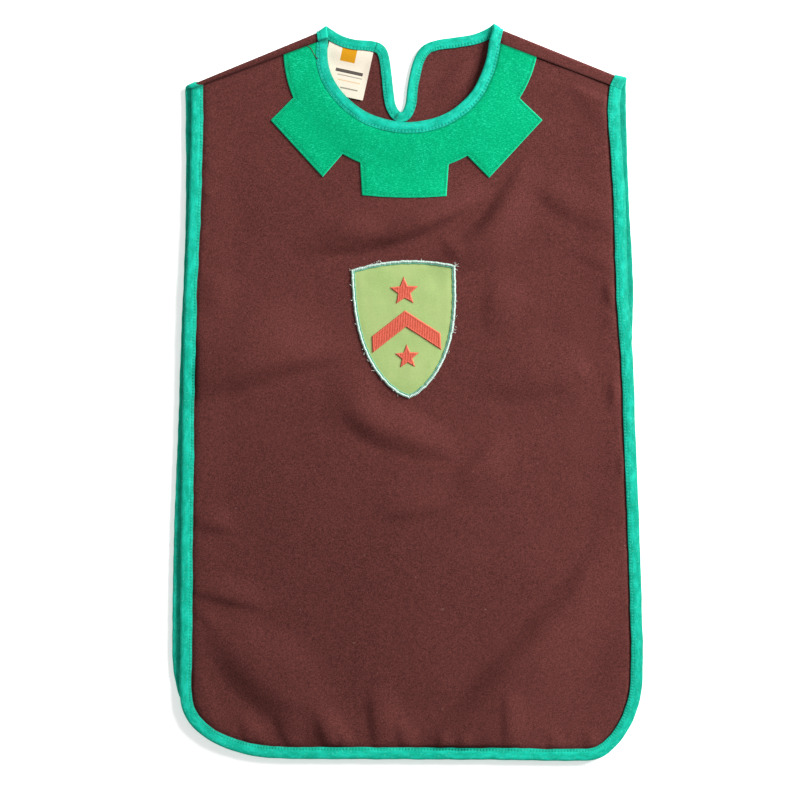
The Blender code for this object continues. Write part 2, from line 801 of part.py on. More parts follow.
def folded_tape(name, sheet, faces, inner_faces, surface):
    """Tape folded round an edge: an outer wall, and a leg above and below the cloth."""
    solid = Solid(sheet)
    outer = HALF_TAPE
    clear = HALF_TAPE - TAPE
    solid.skin(faces, outer, True)
    solid.skin(faces, -outer, False)
    solid.skin(inner_faces, clear, False)
    solid.skin(inner_faces, -clear, True)
    inner_points = {k for face in inner_faces for k in face}
    inner_boundary = set(boundary(inner_faces))
    outer_boundary = set(boundary(faces))
    whole = (-outer, outer)
    stepped = (-outer, -clear, clear, outer)
    for edge in sorted(outer_boundary - inner_boundary):
        levels = [stepped if k in inner_points else whole for k in edge]
        solid.wall(edge, *levels)
    for edge in sorted(outer_boundary & inner_boundary):
        solid.wall(edge, (-outer, -clear), (-outer, -clear))
        solid.wall(edge, (clear, outer), (clear, outer))
    for edge in sorted(inner_boundary - outer_boundary):
        solid.wall(edge[::-1], (-clear, clear), (-clear, clear))
    solid.finish(name, surface)


def bound_edge(name, sheet, run, width, seams, surface):
    """The folded tape along one edge of a panel."""
    faces = sheet.cut(band(run, 0, width, seams))
    inner_faces = sheet.cut(band(run, TAPE, width, seams))
    folded_tape(name, sheet, faces, inner_faces, surface)


def edge_paths(run, width, seams):
    """The lines that a bound edge needs in its sheet."""
    return [inset_run(run, distance, seams) for distance in (0, TAPE, TAPE + GAP, width)]


def panel_outline(side, neck, distance, seams):
    """A panel's outline at one distance in from the outer edge of its binding."""
    return inset_run(side, distance, seams) + inset_run(neck, distance, seams)


def shield_outlines():
    """Every outline of the shield patch, by the name of its piece."""
    border = shield_outline()
    outlines = {
        "border": border,
        "border_inside": inset_outline(border, BORDER_WIDTH),
        "patch": inset_outline(border, BORDER_WIDTH + GAP),
        "chevron": chevron_outline(),
    }
    outlines.update({star.name: star_outline(star) for star in STARS})
    return outlines


def build_front():
    """The front panel and all that is sewn on it."""
    seams = [seam_seen(shoulder, GAP / 2) for shoulder in SHOULDERS]
    side, neck = front_edges()
    whole = panel_outline(side, neck, 0, seams)
    cloth = panel_outline(side, neck, TAPE + GAP, seams)
    collar = collar_outline(inset_run(neck, FRONT_NECK_TAPE_WIDTH + GAP, seams))
    shield = shield_outlines()
    paths = edge_paths(side, EDGE_TAPE_WIDTH, seams)
    paths += edge_paths(neck, FRONT_NECK_TAPE_WIDTH, seams)
    avoid = paths + [row + row[:1] for row in [whole, collar, *shield.values()]]
    on_folds = [point for fold in FOLDS for point in fold_points(fold)]
    loose = clear_points(on_folds, cloth, avoid, FOLD_CLEARANCE)
    clearance = FRONT_GRID * GRID_CLEARANCE
    spaced = clear_points(grid_points(cloth, FRONT_GRID), cloth, avoid, clearance)
    between = [min((point - other).length for other in loose) for point in spaced]
    clearance = FRONT_GRID * GRID_CLEARANCE_FROM_FOLDS
    loose += [point for point, away in zip(spaced, between) if away > clearance]
    outlines = [whole, collar, *shield.values()]
    sheet = Sheet(outlines, paths, loose, lambda points: front_place(points, whole))

    brown = material("gabardine_brown", BROWN)
    layer("front_panel", sheet, sheet.cut(cloth), -CLOTH / 2, CLOTH / 2, brown)
    teal = material("binding_teal", TEAL)
    bound_edge("edge_binding_front", sheet, side, EDGE_TAPE_WIDTH, seams, teal)
    teal = material("neck_binding_teal", TEAL)
    bound_edge("neck_binding_front", sheet, neck, FRONT_NECK_TAPE_WIDTH, seams, teal)
    on_cloth = CLOTH / 2 + GAP
    within = set(sheet.cut(whole))
    faces = [face for face in sheet.cut(collar) if face in within]
    felt = material("felt_green", FELT_GREEN)
    layer("collar_applique", sheet, faces, on_cloth, on_cloth + FELT, felt)
    build_shield(sheet, shield, on_cloth)


def build_shield(sheet, shield, on_cloth):
    """The shield patch, its stitched border and the design on it."""
    ground = sheet.cut(shield["patch"])
    sage = material("patch_sage", SAGE)
    layer("shield_patch", sheet, ground, on_cloth, on_cloth + PATCH, sage)
    rim = sheet.cut(shield["border"], shield["border_inside"])
    mint = material("border_mint", MINT)
    layer("shield_border", sheet, rim, on_cloth, on_cloth + BORDER, mint)
    on_patch = on_cloth + PATCH + GAP
    for name in ["chevron"] + [star.name for star in STARS]:
        coral = material(name + "_coral", CORAL)
        layer(name, sheet, sheet.cut(shield[name]), on_patch, on_patch + STITCHED, coral)


def fold_lines(shoulder):
    """Lines along a shoulder fold where the cloth bends, well past both of its ends."""
    lines = []
    across = over_fold(shoulder)
    along = along_fold(shoulder)
    for k in range(FOLD_STEPS + 1):
        past = math.pi * FOLD_RADIUS * k / FOLD_STEPS
        shift = across * (past - past_fold(shoulder, shoulder.neck))
        start = shoulder.neck - along * FOLD_OVERRUN
        end = shoulder.arm + along * FOLD_OVERRUN
        lines.append([start + shift, end + shift])
    return lines


def build_back():
    """The back panel, its bindings and its label."""
    seams = [seam_unfolded(shoulder) for shoulder in SHOULDERS]
    side, neck = back_edges()
    whole = panel_outline(side, neck, 0, seams)
    cloth = panel_outline(side, neck, TAPE + GAP, seams)
    label = label_outline()
    clear_of_tape = inset_run(neck, BACK_NECK_TAPE_WIDTH + GAP, seams)
    reach = LABEL_LENGTH * LABEL_REACH
    label_top = [point for point in clear_of_tape if (point - LABEL_CENTRE).length < reach]
    paths = edge_paths(side, EDGE_TAPE_WIDTH, seams)
    paths += edge_paths(neck, BACK_NECK_TAPE_WIDTH, seams)
    paths.append(label_top)
    for shoulder in SHOULDERS:
        paths += fold_lines(shoulder)
    avoid = paths + [whole + whole[:1], label + label[:1]]
    clearance = BACK_GRID * GRID_CLEARANCE
    loose = clear_points(grid_points(cloth, BACK_GRID), cloth, avoid, clearance)
    sheet = Sheet([whole, label], paths, loose, lambda points: back_place(points, (side, neck)))

    brown = material("gabardine_brown_back", BROWN)
    layer("back_panel", sheet, sheet.cut(cloth), -CLOTH / 2, CLOTH / 2, brown)
    teal = material("binding_teal_back", SHADED_TEAL)
    bound_edge("edge_binding_back", sheet, side, EDGE_TAPE_WIDTH, seams, teal)
    teal = material("neck_binding_teal_back", TEAL)
    bound_edge("neck_binding_back", sheet, neck, BACK_NECK_TAPE_WIDTH, seams, teal)
    taped = band(neck, 0, BACK_NECK_TAPE_WIDTH + GAP, seams)
    on_cloth = CLOTH / 2 + GAP
    cream = material("label_cream", CREAM)
    layer("neck_label", sheet, sheet.cut(label, taped), on_cloth, on_cloth + LABEL, cream)


def main():
    for old in list(bpy.data.objects):
        bpy.data.objects.remove(old)
    build_front()
    build_back()


main()
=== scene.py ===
"""Dresses a child's knight tabard, laid flat with its front uppermost, in cloth and stitching.

Each panel is drawn once as a flat cut. Its shape on the table is a function of the place in that
cut, so cloth, tape, felt, patch and stitches all follow the same soft folds and never cross.
Lengths are in millimetres until a mesh is made. X runs across, Y towards the neck, Z upwards.
"""
import math
from collections import namedtuple

import bpy
import numpy as np
from mathutils.geometry import delaunay_2d_cdt
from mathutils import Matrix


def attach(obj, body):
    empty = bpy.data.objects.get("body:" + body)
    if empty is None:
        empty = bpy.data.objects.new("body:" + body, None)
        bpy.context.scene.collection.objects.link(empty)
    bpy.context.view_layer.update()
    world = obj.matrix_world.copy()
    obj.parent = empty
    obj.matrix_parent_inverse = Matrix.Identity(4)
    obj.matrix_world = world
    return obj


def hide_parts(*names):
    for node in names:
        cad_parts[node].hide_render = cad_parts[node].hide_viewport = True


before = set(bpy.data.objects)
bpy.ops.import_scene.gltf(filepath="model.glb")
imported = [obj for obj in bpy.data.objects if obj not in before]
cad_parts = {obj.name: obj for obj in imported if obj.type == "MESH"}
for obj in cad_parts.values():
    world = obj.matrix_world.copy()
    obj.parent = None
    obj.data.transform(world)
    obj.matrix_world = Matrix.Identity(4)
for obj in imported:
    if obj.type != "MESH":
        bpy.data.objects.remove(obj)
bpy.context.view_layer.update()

bl_info = {
    "name": "Child's tabard",
    "version": (1, 0, 0),
    "blender": (4, 5, 0),
    "location": "3D View > Sidebar > Tabard",
    "description": "Cloth, tape, felt and stitching for a child's knight tabard laid flat",
    "category": "Add Mesh",
}

MM = 0.001

# Heights of the middle of the cloth above the table, as the solids have them. A panel keeps the
# height of its bound edge for a flat, and then slopes to its own.
BACK_EDGE_HEIGHT = 1.85
BACK_HEIGHT = 0.55
BACK_EDGE_FLAT = 12.5
BACK_EDGE_SLOPE = 15.0
FRONT_EDGE_HEIGHT = 5.85
FRONT_HEIGHT = 4.4
FRONT_EDGE_FLAT = 15.0
FRONT_EDGE_SLOPE = 32.0
FOLD_RADIUS = (FRONT_EDGE_HEIGHT - BACK_EDGE_HEIGHT) / 2
HALF_CLOTH_SOLID = 0.55

# The edge of the back turns up where it shows: all along the left, and at the right above a foot
CURL_FOOT = 60.0
CURL_FADE = 40.0
CURL_RISE = 1.2
CURL_WIDTH = 5.5

# Cloth dips along the shoulder seams, and the front's also just inside its side tape
SEAM_DIP = 0.75
SEAM_DIP_WIDTH = 1.4
TUCK_DIP = 0.55
TUCK_DIP_WIDTH = 0.9
TAPE_SIDE = 11.6

# Each fold is an arch of points that swells from nothing at its ends, where it is also narrower
CREASE_POINTS = 25
CREASE_SWELL = 1.3
CREASE_END_WIDTH = 0.6

# Where the front's folds start to show inside its edge, over how far, and their share before it
FOLDS_START = 9.5
FOLDS_FADE = 5.0
FOLDS_AT_EDGE = 0.1

# Unevenness: the height of its waves, their shortest and longest, and the seed of its draws
Rumple = namedtuple("Rumple", "height shortest longest seed")
FOLD_WANDER = [Rumple(1.8, 60, 170, 11), Rumple(1.8, 60, 170, 12)]
FRONT_RUMPLE = Rumple(0.20, 34, 95, 13)
FRONT_FINE_RUMPLE = Rumple(0.06, 12, 28, 14)
TAPE_RUMPLE = Rumple(0.10, 9, 19, 16)
TAPE_RUMPLE_PLACE = 13.0
TAPE_RUMPLE_WIDTH = 8.0
BACK_RUMPLE = Rumple(0.05, 25, 70, 21)
FELT_RUMPLE = Rumple(0.05, 4, 11, 41)
PATCH_RUMPLE = Rumple(0.05, 9, 26, 61)
LINE_WAVES = 7
SURFACE_WAVES = 16

# How far the bound edges waver, and how close the points of a panel's outline are
SIDE_WOBBLE = 0.14
NECK_WOBBLE = 0.08
OUTLINE_SPACING = 2.0

# Outer edges of the binding at a height up the tabard
Section = namedtuple("Section", "y left right")
FRONT_SECTIONS = [
    Section(y=284, left=-194.7, right=194.4),
    Section(y=272, left=-194.8, right=192.4),
    Section(y=254, left=-194.8, right=191.1),
    Section(y=173, left=-196.7, right=196.1),
    Section(y=83, left=-200.6, right=198.8),
    Section(y=29, left=-201.9, right=203.0),
    Section(y=-25, left=-203.0, right=204.8),
    Section(y=-115, left=-203.9, right=208.4),
    Section(y=-187, left=-204.6, right=210.8),
    Section(y=-241, left=-204.9, right=211.9),
]
BACK_SECTIONS = [
    Section(y=263, left=-200.2, right=197.0),
    Section(y=173, left=-199.9, right=199.6),
    Section(y=119, left=-201.2, right=202.6),
    Section(y=83, left=-202.8, right=203.6),
    Section(y=29, left=-204.9, right=201.8),
    Section(y=-25, left=-206.6, right=201.4),
    Section(y=-115, left=-210.2, right=203.6),
    Section(y=-187, left=-211.8, right=206.4),
]

# Rounded bottom corners, each a quarter of an oval that is squarer for a higher power
Corner = namedtuple("Corner", "x y reach_x reach_y power")
FRONT_LEFT_CORNER = Corner(x=-107.9, y=-271.6, reach_x=97.3, reach_y=58.3, power=2.1)
FRONT_RIGHT_CORNER = Corner(x=164.3, y=-259.0, reach_x=47.2, reach_y=72.3, power=1.76)
BACK_LEFT_CORNER = Corner(x=-112.0, y=-232.0, reach_x=100.0, reach_y=94.0, power=2.4)
BACK_RIGHT_CORNER = Corner(x=150.0, y=-245.0, reach_x=58.5, reach_y=82.0, power=1.8)
CORNER_STEPS = 8

# Edges of the front neckline at a height up the tabard, and its lowest point
FRONT_NECK_SECTIONS = [
    Section(y=330, left=-69.6, right=76.6),
    Section(y=318, left=-71.2, right=73.8),
    Section(y=300, left=-71.8, right=70.6),
    Section(y=286, left=-68.6, right=65.6),
    Section(y=270, left=-58.6, right=57.0),
    Section(y=255, left=-41.4, right=41.2),
    Section(y=247, left=-24.0, right=24.4),
]
NECK_LOW_POINT = (0.0, 243.2)

# Edge of the back neckline from right to left, down one side of the slit and up the other
BACK_NECK = [
    (68.9, 326.5),
    (58.2, 322.6),
    (41.2, 319.9),
    (26.3, 317.6),
    (15.8, 313.9),
    (9.4, 307.5),
    (5.0, 298.6),
    (1.6, 285.5),
    (-0.4, 274.0),
    (-2.4, 258.6),
    (-5.9, 252.6),
    (-10.3, 258.6),
    (-12.6, 272.0),
    (-14.4, 288.0),
    (-16.4, 301.5),
    (-18.8, 309.0),
    (-23.6, 314.2),
    (-31.5, 316.8),
    (-47.4, 318.2),
    (-58.0, 321.2),
    (-67.0, 326.0),
]

# Each shoulder as seen from above: the top fold from the neck to the arm, how far the back
# comes over onto the front, where the outer edges of the binding meet fold and seam, and
# whether the strip's edge stands up at the seam (1) or sinks into it (-1)
Shoulder = namedtuple(
    "Shoulder", "neck arm strip_at_neck strip_at_arm tip peak seam_at_arm seam_at_neck seam_step"
)
LEFT_SHOULDER = Shoulder(
    neck=np.array((-83.3, 323.3)),
    arm=np.array((-185.9, 281.0)),
    strip_at_neck=8.5,
    strip_at_arm=4.9,
    tip=np.array((-199.9, 274.9)),
    peak=np.array((-72.5, 330.0)),
    seam_at_arm=np.array((-194.8, 272.4)),
    seam_at_neck=np.array((-71.2, 318.6)),
    seam_step=-1.0,
)
RIGHT_SHOULDER = Shoulder(
    neck=np.array((91.3, 324.2)),
    arm=np.array((184.9, 286.4)),
    strip_at_neck=12.5,
    strip_at_arm=10.4,
    tip=np.array((197.7, 282.5)),
    peak=np.array((76.9, 331.8)),
    seam_at_arm=np.array((192.5, 272.2)),
    seam_at_neck=np.array((73.8, 317.6)),
    seam_step=1.0,
)
SHOULDERS = (LEFT_SHOULDER, RIGHT_SHOULDER)
SEAM_OVERRUN = 14.0

# Felt collar: a ring round the neck, with tabs given by the angles of their roots and corners
COLLAR_CENTRE = np.array((-1.0, 310.0))
COLLAR_RADIUS = 111.5
COLLAR_TAB_RADIUS = 138.6
COLLAR_STEP = 3.0
Tab = namedtuple("Tab", "root_start corner_start corner_end root_end bow")
COLLAR_TABS = [
    Tab(root_start=203.8, corner_start=208.1, corner_end=237.0, root_end=238.9, bow=0.0),
    Tab(root_start=248.0, corner_start=253.2, corner_end=285.0, root_end=289.9, bow=1.8),
    Tab(root_start=299.4, corner_start=302.4, corner_end=332.0, root_end=336.0, bow=0.0),
]
StrapEnd = namedtuple("StrapEnd", "angle radius")
LEFT_STRAP = StrapEnd(angle=172.0, radius=110.5)
RIGHT_STRAP = StrapEnd(angle=368.0, radius=121.0)

# Shield patch, and the stitched design on it, placed from the middle of the shield's top edge
SHIELD_TOP = np.array((-4.4, 118.6))
SHIELD_TILT = math.radians(2.6)
SHIELD_WIDTH = 94.0
SHIELD_HEIGHT = 124.4
SHIELD_CROWN = 6.4
SHIELD_TAPER = 2.9
SHIELD_BELLY = 0.72
SHIELD_STEPS = 60
CHEVRON_WIDTH = 62.0
CHEVRON_RISE = 22.0
CHEVRON_BAND = 15.0
CHEVRON_DROP = 45.0
STAR_WAIST = 0.45
STAR_POINTS = 5
Star = namedtuple("Star", "name down radius")
STARS = [
    Star(name="star_high", down=28.0, radius=13.5),
    Star(name="star_low", down=87.0, radius=11.5),
]

# Label sewn into the left of the back neck, lying on the inside of the back panel
LABEL_CENTRE = np.array((-55.2, 291.2))
LABEL_WIDTH = 41.0
LABEL_LENGTH = 48.6
LABEL_TILT = math.radians(-12.5)

# Soft folds of the front: a ridge rises and a trough falls. Each runs on an arch from its start
# through its middle to its end, and falls away over its widths to the left and right of that way. A row
# has X and Y of these three points, the two widths and the rise.
Crease = namedtuple("Crease", "x0 y0 x1 y1 x2 y2 left right rise")
FRONT_CREASES = [
    Crease(-104, 126, -15, 145, 74, 181, 42, 13, 5.4),
    Crease(-80, 131, -50, 144, -16, 141, 20, 12, 2.2),
    Crease(-30, 135, 20, 151, 78, 182, 26, 10, 5.4),
    Crease(16, 114, 76, 149, 108, 214, 14, 30, 6.4),
    Crease(30, 142, 42, 130, 50, 112, 12, 12, 1.2),
    Crease(102, 198, 146, 169, 192, 148, 24, 16, 2.0),
    Crease(140, 132, 170, 121, 194, 108, 16, 11, 1.1),
    Crease(79, 114, 79, 78, 77, 42, 30, 16, 2.0),
    Crease(150, 120, 152, 0, 155, -120, 30, 30, 0.9),
    Crease(181, 106, 183, 90, 184, 74, 9, 8, 2.0),
    Crease(183, 73, 183, 65, 182, 56, 7, 7, 0.8),
    Crease(185, 18, 186, 2, 184, -14, 8, 7, 2.0),
    Crease(149, 13, 158, 19, 166, 24, 10, 10, 1.0),
    Crease(193, -54, 194, -66, 192, -79, 7, 7, 1.4),
    Crease(60, 8, 115, 12, 168, 18, 48, 22, 3.2),
    Crease(-197, -9, -138, 25, -42, 43, 60, 22, 7.8),
    Crease(-44, 32, -46, -7, -20, -36, 24, 36, 2.6),
    Crease(-58, -12, -16, -36, 52, -56, 30, 20, 4.4),
    Crease(82, -30, 64, -66, 28, -94, 36, 14, 3.2),
    Crease(-30, -108, 11, -104, 50, -93, 22, 15, 2.2),
    Crease(-196, -118, -173, -119, -148, -125, 20, 10, 2.3),
    Crease(-200, -180, -164, -183, -125, -193, 24, 11, 2.9),
    Crease(-190, -201, -182, -207, -172, -214, 8, 8, 1.0),
    Crease(-180, -204, -128, -256, -50, -322, 46, 30, 5.8),
    Crease(-128, -200, -97, -241, -56, -268, 25, 25, 1.3),
    Crease(4, -330, 101, -248, 190, -122, 27, 60, 9.6),
    Crease(-182, 200, -177, 204, -169, 209, 7, 7, 0.9),
    Crease(-183, 180, -178, 181, -171, 183, 6, 6, 0.8),
    Crease(-190, 92, -172, 88, -150, 80, 24, 24, 1.6),
    Crease(127, 294, 170, 266, 190, 216, 20, 22, 1.5),
    Crease(-195, -228, -186, -271, -170, -304, 15, 16, 1.2),
    Crease(-148, -286, -144, -304, -139, -324, 15, 8, 1.5),
    Crease(-136, -300, -133, -311, -130, -327, 10, 6, 1.1),
    Crease(-118, -286, -109, -304, -100, -324, 20, 10, 2.3),
    Crease(-82, -282, -73, -305, -69, -329, 22, 12, 3.0),
    Crease(-60, -300, -57, -315, -55, -331, 12, 7, 1.5),
    Crease(-30, -262, -26, -293, -25, -331, 28, 12, 3.2),
    Crease(-7, -291, -3, -311, -1, -333, 16, 8, 1.9),
    Crease(30, -302, 32, -314, 33, -331, 12, 7, 1.5),
    Crease(50, -306, 51, -316, 52, -331, 9, 6, 1.0),
    Crease(89, -268, 90, -296, 90, -331, 20, 9, 2.0),
    Crease(130, -300, 131, -315, 132, -331, 12, 7, 1.2),
    Crease(162, -300, 164, -315, 165, -331, 14, 8, 1.4),
]

# Soft folds of the back: ridges only, because it lies on the table
BACK_CREASES = [
    Crease(-120, 150, -30, 176, 70, 168, 30, 20, 0.7),
    Crease(10, 50, 80, -20, 124, -130, 34, 22, 0.8),
    Crease(-164, -30, -90, -90, -52, -190, 22, 34, 0.8),
    Crease(-80, -256, 20, -230, 130, -266, 26, 20, 0.7),
    Crease(12, 254, 42, 282, 70, 318, 11, 13, 2.2),
    Crease(24, 244, 52, 266, 80, 302, 8, 11, 1.6),
    Crease(-62, 236, -40, 252, -24, 280, 11, 9, 0.6),
    Crease(-160, 246, -120, 262, -92, 298, 16, 20, 0.5),
    Crease(104, 300, 130, 262, 172, 246, 18, 16, 0.5),
]

# Cloth ends this far inside the outer edge of its tape
CLOTH_INSET = 1.9

# Rows of points round a shoulder's fold, and how far they run past its ends
FOLD_ROWS = 8
FOLD_OVERRUN = 30.0

# How near a corner of the shoulder the cloth is drawn out to it, and how sharply
CORNER_REACH = 10.0
CORNER_POWER = 1.5

# Tape: points of its edge along a stitch, how far in it is sewn, how far below the top of the
# bound edge a stitch lies, and how deep the tape is pressed between stitches and more at them
SAMPLES_A_STITCH = 4
STITCH_INSET = 1.9
STITCH_DROP = 0.36
TAPE_HALF_STITCH = 1.45
PRESSED = 0.05
PRESSED_AT_STITCH = 0.22

# Painted shade in the tape: dark lines along its stitches and inner edge, on the bend that faces the
# light to tone down its highlight, and at the left and right shoulder seams. It also has dark lines
# where lengths of tape are joined, and painted shade of a pleat at the foot of the back slit. The
# back's side tape has painted shade to the right of the middle, fully so beyond a reach.
STITCH_SHADE = 0.38
BEND_SHADE = 0.8
BEND_WIDTH = 2.6
LIGHT_WAY = np.array((0.84, 0.54))
SEAM_SHADES = (1.0, 0.0)
SEAM_SHADE_WIDTH = 0.8
JOIN_OR_PLEAT_WIDTH = 0.6
PAINTED_SHADE_REACH = 60.0
BACK_SIDE_PAINTED_SHADE = 0.38
JoinOrPleat = namedtuple("JoinOrPleat", "at depth")
# A dark line where lengths of tape are joined, then painted shade of a small pleat at the slit's foot
BACK_NECK_JOINS_AND_PLEAT_SHADE = [
    JoinOrPleat(at=np.array((-28.6, 310.4)), depth=1.0),
    JoinOrPleat(at=np.array((-9.6, 249.6)), depth=0.8),
]

# Height of the underside of what is sewn on, above the middle of the cloth that carries it
FELT_LEVEL = 0.45
PATCH_LEVEL = 0.45
LABEL_LEVEL = 0.42
EMBLEM_LEVEL = 1.3

# Felt: its stitching, the groove that this makes, the tuck at the tape, and a stray thread on it
COLLAR_SPACING = 1.5
COLLAR_STITCH_INSET = 2.4
FELT_HALF_STITCH = 1.4
FELT_STITCH_DROP = 0.24
FELT_EDGE_SHARE = 0.62
GROOVE_DEPTH = 0.30
FELT_TUCK_DEPTH = 0.4
STRAY_THREAD = [(-90.4, 311.5), (-86.9, 309.0), (-84.3, 304.0), (-80.8, 299.5)]
STRAY_THICKNESS = 0.55

# Patch: its cloth, the cord of stitches round it, a thin line of stitches inside that, and the
# thickness of the loose thread ends
PATCH_THICKNESS = 0.8
PATCH_EDGE_SHARE = 0.75
RIM_WIDTH = 2.5
RIM_HEIGHT = 2.0
RIM_LINE_WIDTH = 1.1
RIM_LINE_HEIGHT = 1.62
LOOSE_THREAD = 0.28

# A cord of stitches: the spacing of its rings, the length of each thread's twist, and the points of
# its section: where they lie across it, and how high they lift, with two more underneath
BEAD_STEP = 0.35
BEAD_THREAD = 1.05
BEAD_OFFSETS = (-1, -0.8, -0.35, 0, 0.35, 0.8, 1)
BEAD_LIFTS = (0.1, 0.6, 0.94, 1.0, 0.94, 0.6, 0.1, 0.0, 0.0)

# Places along the shield's edge where cut thread ends stick out
Fray = namedtuple("Fray", "at count spread")
FRAYED_SPOTS = [
    Fray(at=np.array((-28.0, 117.0)), count=14, spread=5.0),
    Fray(at=np.array((43.0, 113.0)), count=12, spread=2.0),
    Fray(at=np.array((40.5, 60.0)), count=7, spread=3.0),
    Fray(at=np.array((0.0, 60.0)), count=46, spread=60.0),
]

# Stitched design: how high it stands, and the ridge and valley that run along its edge
EMBLEM_EDGE = 0.12
EMBLEM_RISE = 0.62
EMBLEM_RIDGE = 0.16
EMBLEM_VALLEY = 0.10

# Label: its thickness, and how far its free end curls up
LABEL_THICKNESS = 0.35
LABEL_CURL = 0.9
LABEL_WAVE = 0.25

# Plain marks woven into the label: their sides from its middle and how far down they start and end
Mark = namedtuple("Mark", "left right top foot colour share")
LABEL_MARKS = [
    Mark(left=-7.5, right=6.0, top=0, foot=17.5, colour="gold", share=1.0),
    Mark(left=-9.5, right=15.5, top=24.5, foot=27.5, colour="label_line", share=0.95),
    Mark(left=-7.0, right=15.5, top=29.4, foot=30.4, colour="label_line", share=0.55),
    Mark(left=-6.0, right=15.0, top=34.0, foot=34.9, colour="gold", share=0.5),
    Mark(left=-2.0, right=14.0, top=40.4, foot=41.8, colour="label_line", share=0.65),
]

# Spacings in metres of the ribs and yarns of each weave, and the middle of the painted shade that
# darkens the cloth at its lower left
TWILL_RIB = 0.0011
TWILL_YARN = 0.0007
SATIN_THREAD = 0.0015
TAPE_RIB = 0.0009
LABEL_WEFT = 0.0006
PAINTED_SHADE_PLACE = (-0.12, -0.23, 0.0)

# Floor, camera and light, in metres and watts, the strength of the sky, and the floor's painted glow,
# which lifts the shadows on it
FLOOR_SIZE = 8.0
FLOOR_GLOW = 0.42
LENS = 85.0
CLIP_END = 20.0
FRAME_WIDTH = 0.72
VIEW_X = -0.00684
VIEW_Y = -0.00702
SKY = 0.41
KEY_PLACE = (2.262, 1.469, 1.315)
KEY_SIZE = 1.5
KEY_POWER = 238.0

# The two panels, kept here once they are drawn
PANELS = {}


def smooth_curve(points, step=1.0):
    """Closely spaced points on a smooth curve through the given points."""
    row = np.array([tuple(point) for point in points], float)
    row = np.vstack([2 * row[0] - row[1], row, 2 * row[-1] - row[-2]])
    path = []
    for four in zip(row, row[1:], row[2:], row[3:]):
        gaps = [math.dist(a, b) ** 0.5 for a, b in zip(four, four[1:])]
        knots = np.cumsum([0.0, *gaps])
        count = max(1, round(math.dist(four[1], four[2]) / step))
        share = np.arange(count)[:, None] / count
        at = knots[1] + share * (knots[2] - knots[1])
        level = list(four)
        for span in (1, 2):
            level = [
                level[k] + (level[k + 1] - level[k]) * (at - knots[k]) / (knots[k + span] - knots[k])
                for k in range(len(level) - 1)
            ]
        path.append(level[0] + (level[1] - level[0]) * share)
    return np.vstack([*path, row[-2]])


def evenly(path, spacing):
    """The path again, with its points about a spacing apart."""
    path = np.asarray(path, float)
    run = np.r_[0, np.cumsum(np.linalg.norm(np.diff(path, axis=0), axis=1))]
    at = np.linspace(0, run[-1], max(1, round(run[-1] / spacing)) + 1)
    return np.column_stack([np.interp(at, run, column) for column in path.T])


def left_of(ways):
    """Directions turned a quarter turn to the left."""
    ways = np.asarray(ways, float)
    return np.stack([-ways[..., 1], ways[..., 0]], axis=-1)


def unit(ways):
    """Directions of length one."""
    return ways / np.maximum(np.linalg.norm(ways, axis=-1, keepdims=True), 1e-12)


def direction(angle):
    """The way at an angle to X."""
    return np.array((math.cos(angle), math.sin(angle)))


def ease(values):
    """A smooth step from 0 to 1."""
    values = np.clip(values, 0, 1)
    return values * values * (3 - 2 * values)


def rising(values, start, length):
    """A smooth step from 0 to 1 that begins at a start and takes a length."""
    return ease((values - start) / length)


def bell(values, width):
    """A soft bump of height 1 round zero."""
    return np.exp(-((values / width) ** 2))


def softened(rows, reach, closed=False):
    """Rows averaged with their neighbours up to a reach away."""
    weights = np.hanning(2 * reach + 3)[1:-1]
    mode = "wrap" if closed else "edge"
    padded = np.pad(rows, ((reach, reach), (0, 0)), mode=mode)
    columns = [np.convolve(column, weights / weights.sum(), "valid") for column in padded.T]
    return np.column_stack(columns)


Edge = namedtuple("Edge", "points inward step")


def edge_of(points, spacing, wobble=0.0, seed=0):
    """An edge with the cloth on its left: its points, the way in at each, and their spacing."""
    path = evenly(smooth_curve(points), spacing)
    along = unit(softened(np.gradient(path, axis=0), 3))
    inward = left_of(along)
    step = float(np.linalg.norm(np.diff(path, axis=0), axis=1).mean())
    stretch = np.arange(len(path)) * step
    path = path + inward * (wobble * waves(stretch, 14, 70, seed))[:, None]
    return Edge(path, inward, step)


def waves(at, shortest, longest, seed):
    """A soft irregular wave of height 1 along a line, from a few fixed lengths."""
    draw = np.random.default_rng(seed)
    total = np.zeros(len(at))
    for _ in range(LINE_WAVES):
        length = draw.uniform(shortest, longest)
        total += np.sin(2 * math.pi * (at / length + draw.uniform()))
    return total / math.sqrt(LINE_WAVES)


def rumple(points, shortest, longest, seed):
    """A soft irregular relief of height 1 over a surface, from waves in many directions."""
    draw = np.random.default_rng(seed)
    total = np.zeros(len(points))
    for _ in range(SURFACE_WAVES):
        length = draw.uniform(shortest, longest)
        way = direction(draw.uniform(0, math.pi)) / length
        total += np.sin(2 * math.pi * (points @ way + draw.uniform()))
    return total / math.sqrt(SURFACE_WAVES)


def relief(points, row):
    """The unevenness that a row describes, over a surface."""
    return row.height * rumple(points, *row[1:])


def side_of(line, points):
    """Positive where points lie to the left of the line."""
    start, end = line
    return (np.asarray(points) - start) @ left_of(unit(end - start))


def seams_side(seams, points):
    """Positive where points lie within all the seams."""
    return np.min([side_of(line, points) for line in seams], axis=0)


def span_within(path, seams):
    """Where a path comes in past the seams and goes out again, as places in its row."""
    side = seams_side(seams, path)
    within = np.flatnonzero(side > 0)
    first, last = within[0], within[-1]
    start, end = float(first), float(last)
    if first > 0:
        start -= side[first] / (side[first] - side[first - 1])
    if last < len(path) - 1:
        end += side[last] / (side[last] - side[last + 1])
    return start, end


def at_places(path, places):
    """Points of the path at places between the points of its row."""
    low = np.clip(np.floor(places).astype(int), 0, len(path) - 2)
    share = (places - low)[..., None]
    return path[low] * (1 - share) + path[low + 1] * share


def trimmed(path, seams):
    """The stretch of the path within the seams, ending on them."""
    start, end = span_within(path, seams)
    places = np.r_[start, np.arange(math.floor(start) + 1, math.ceil(end)), end]
    return at_places(path, places)


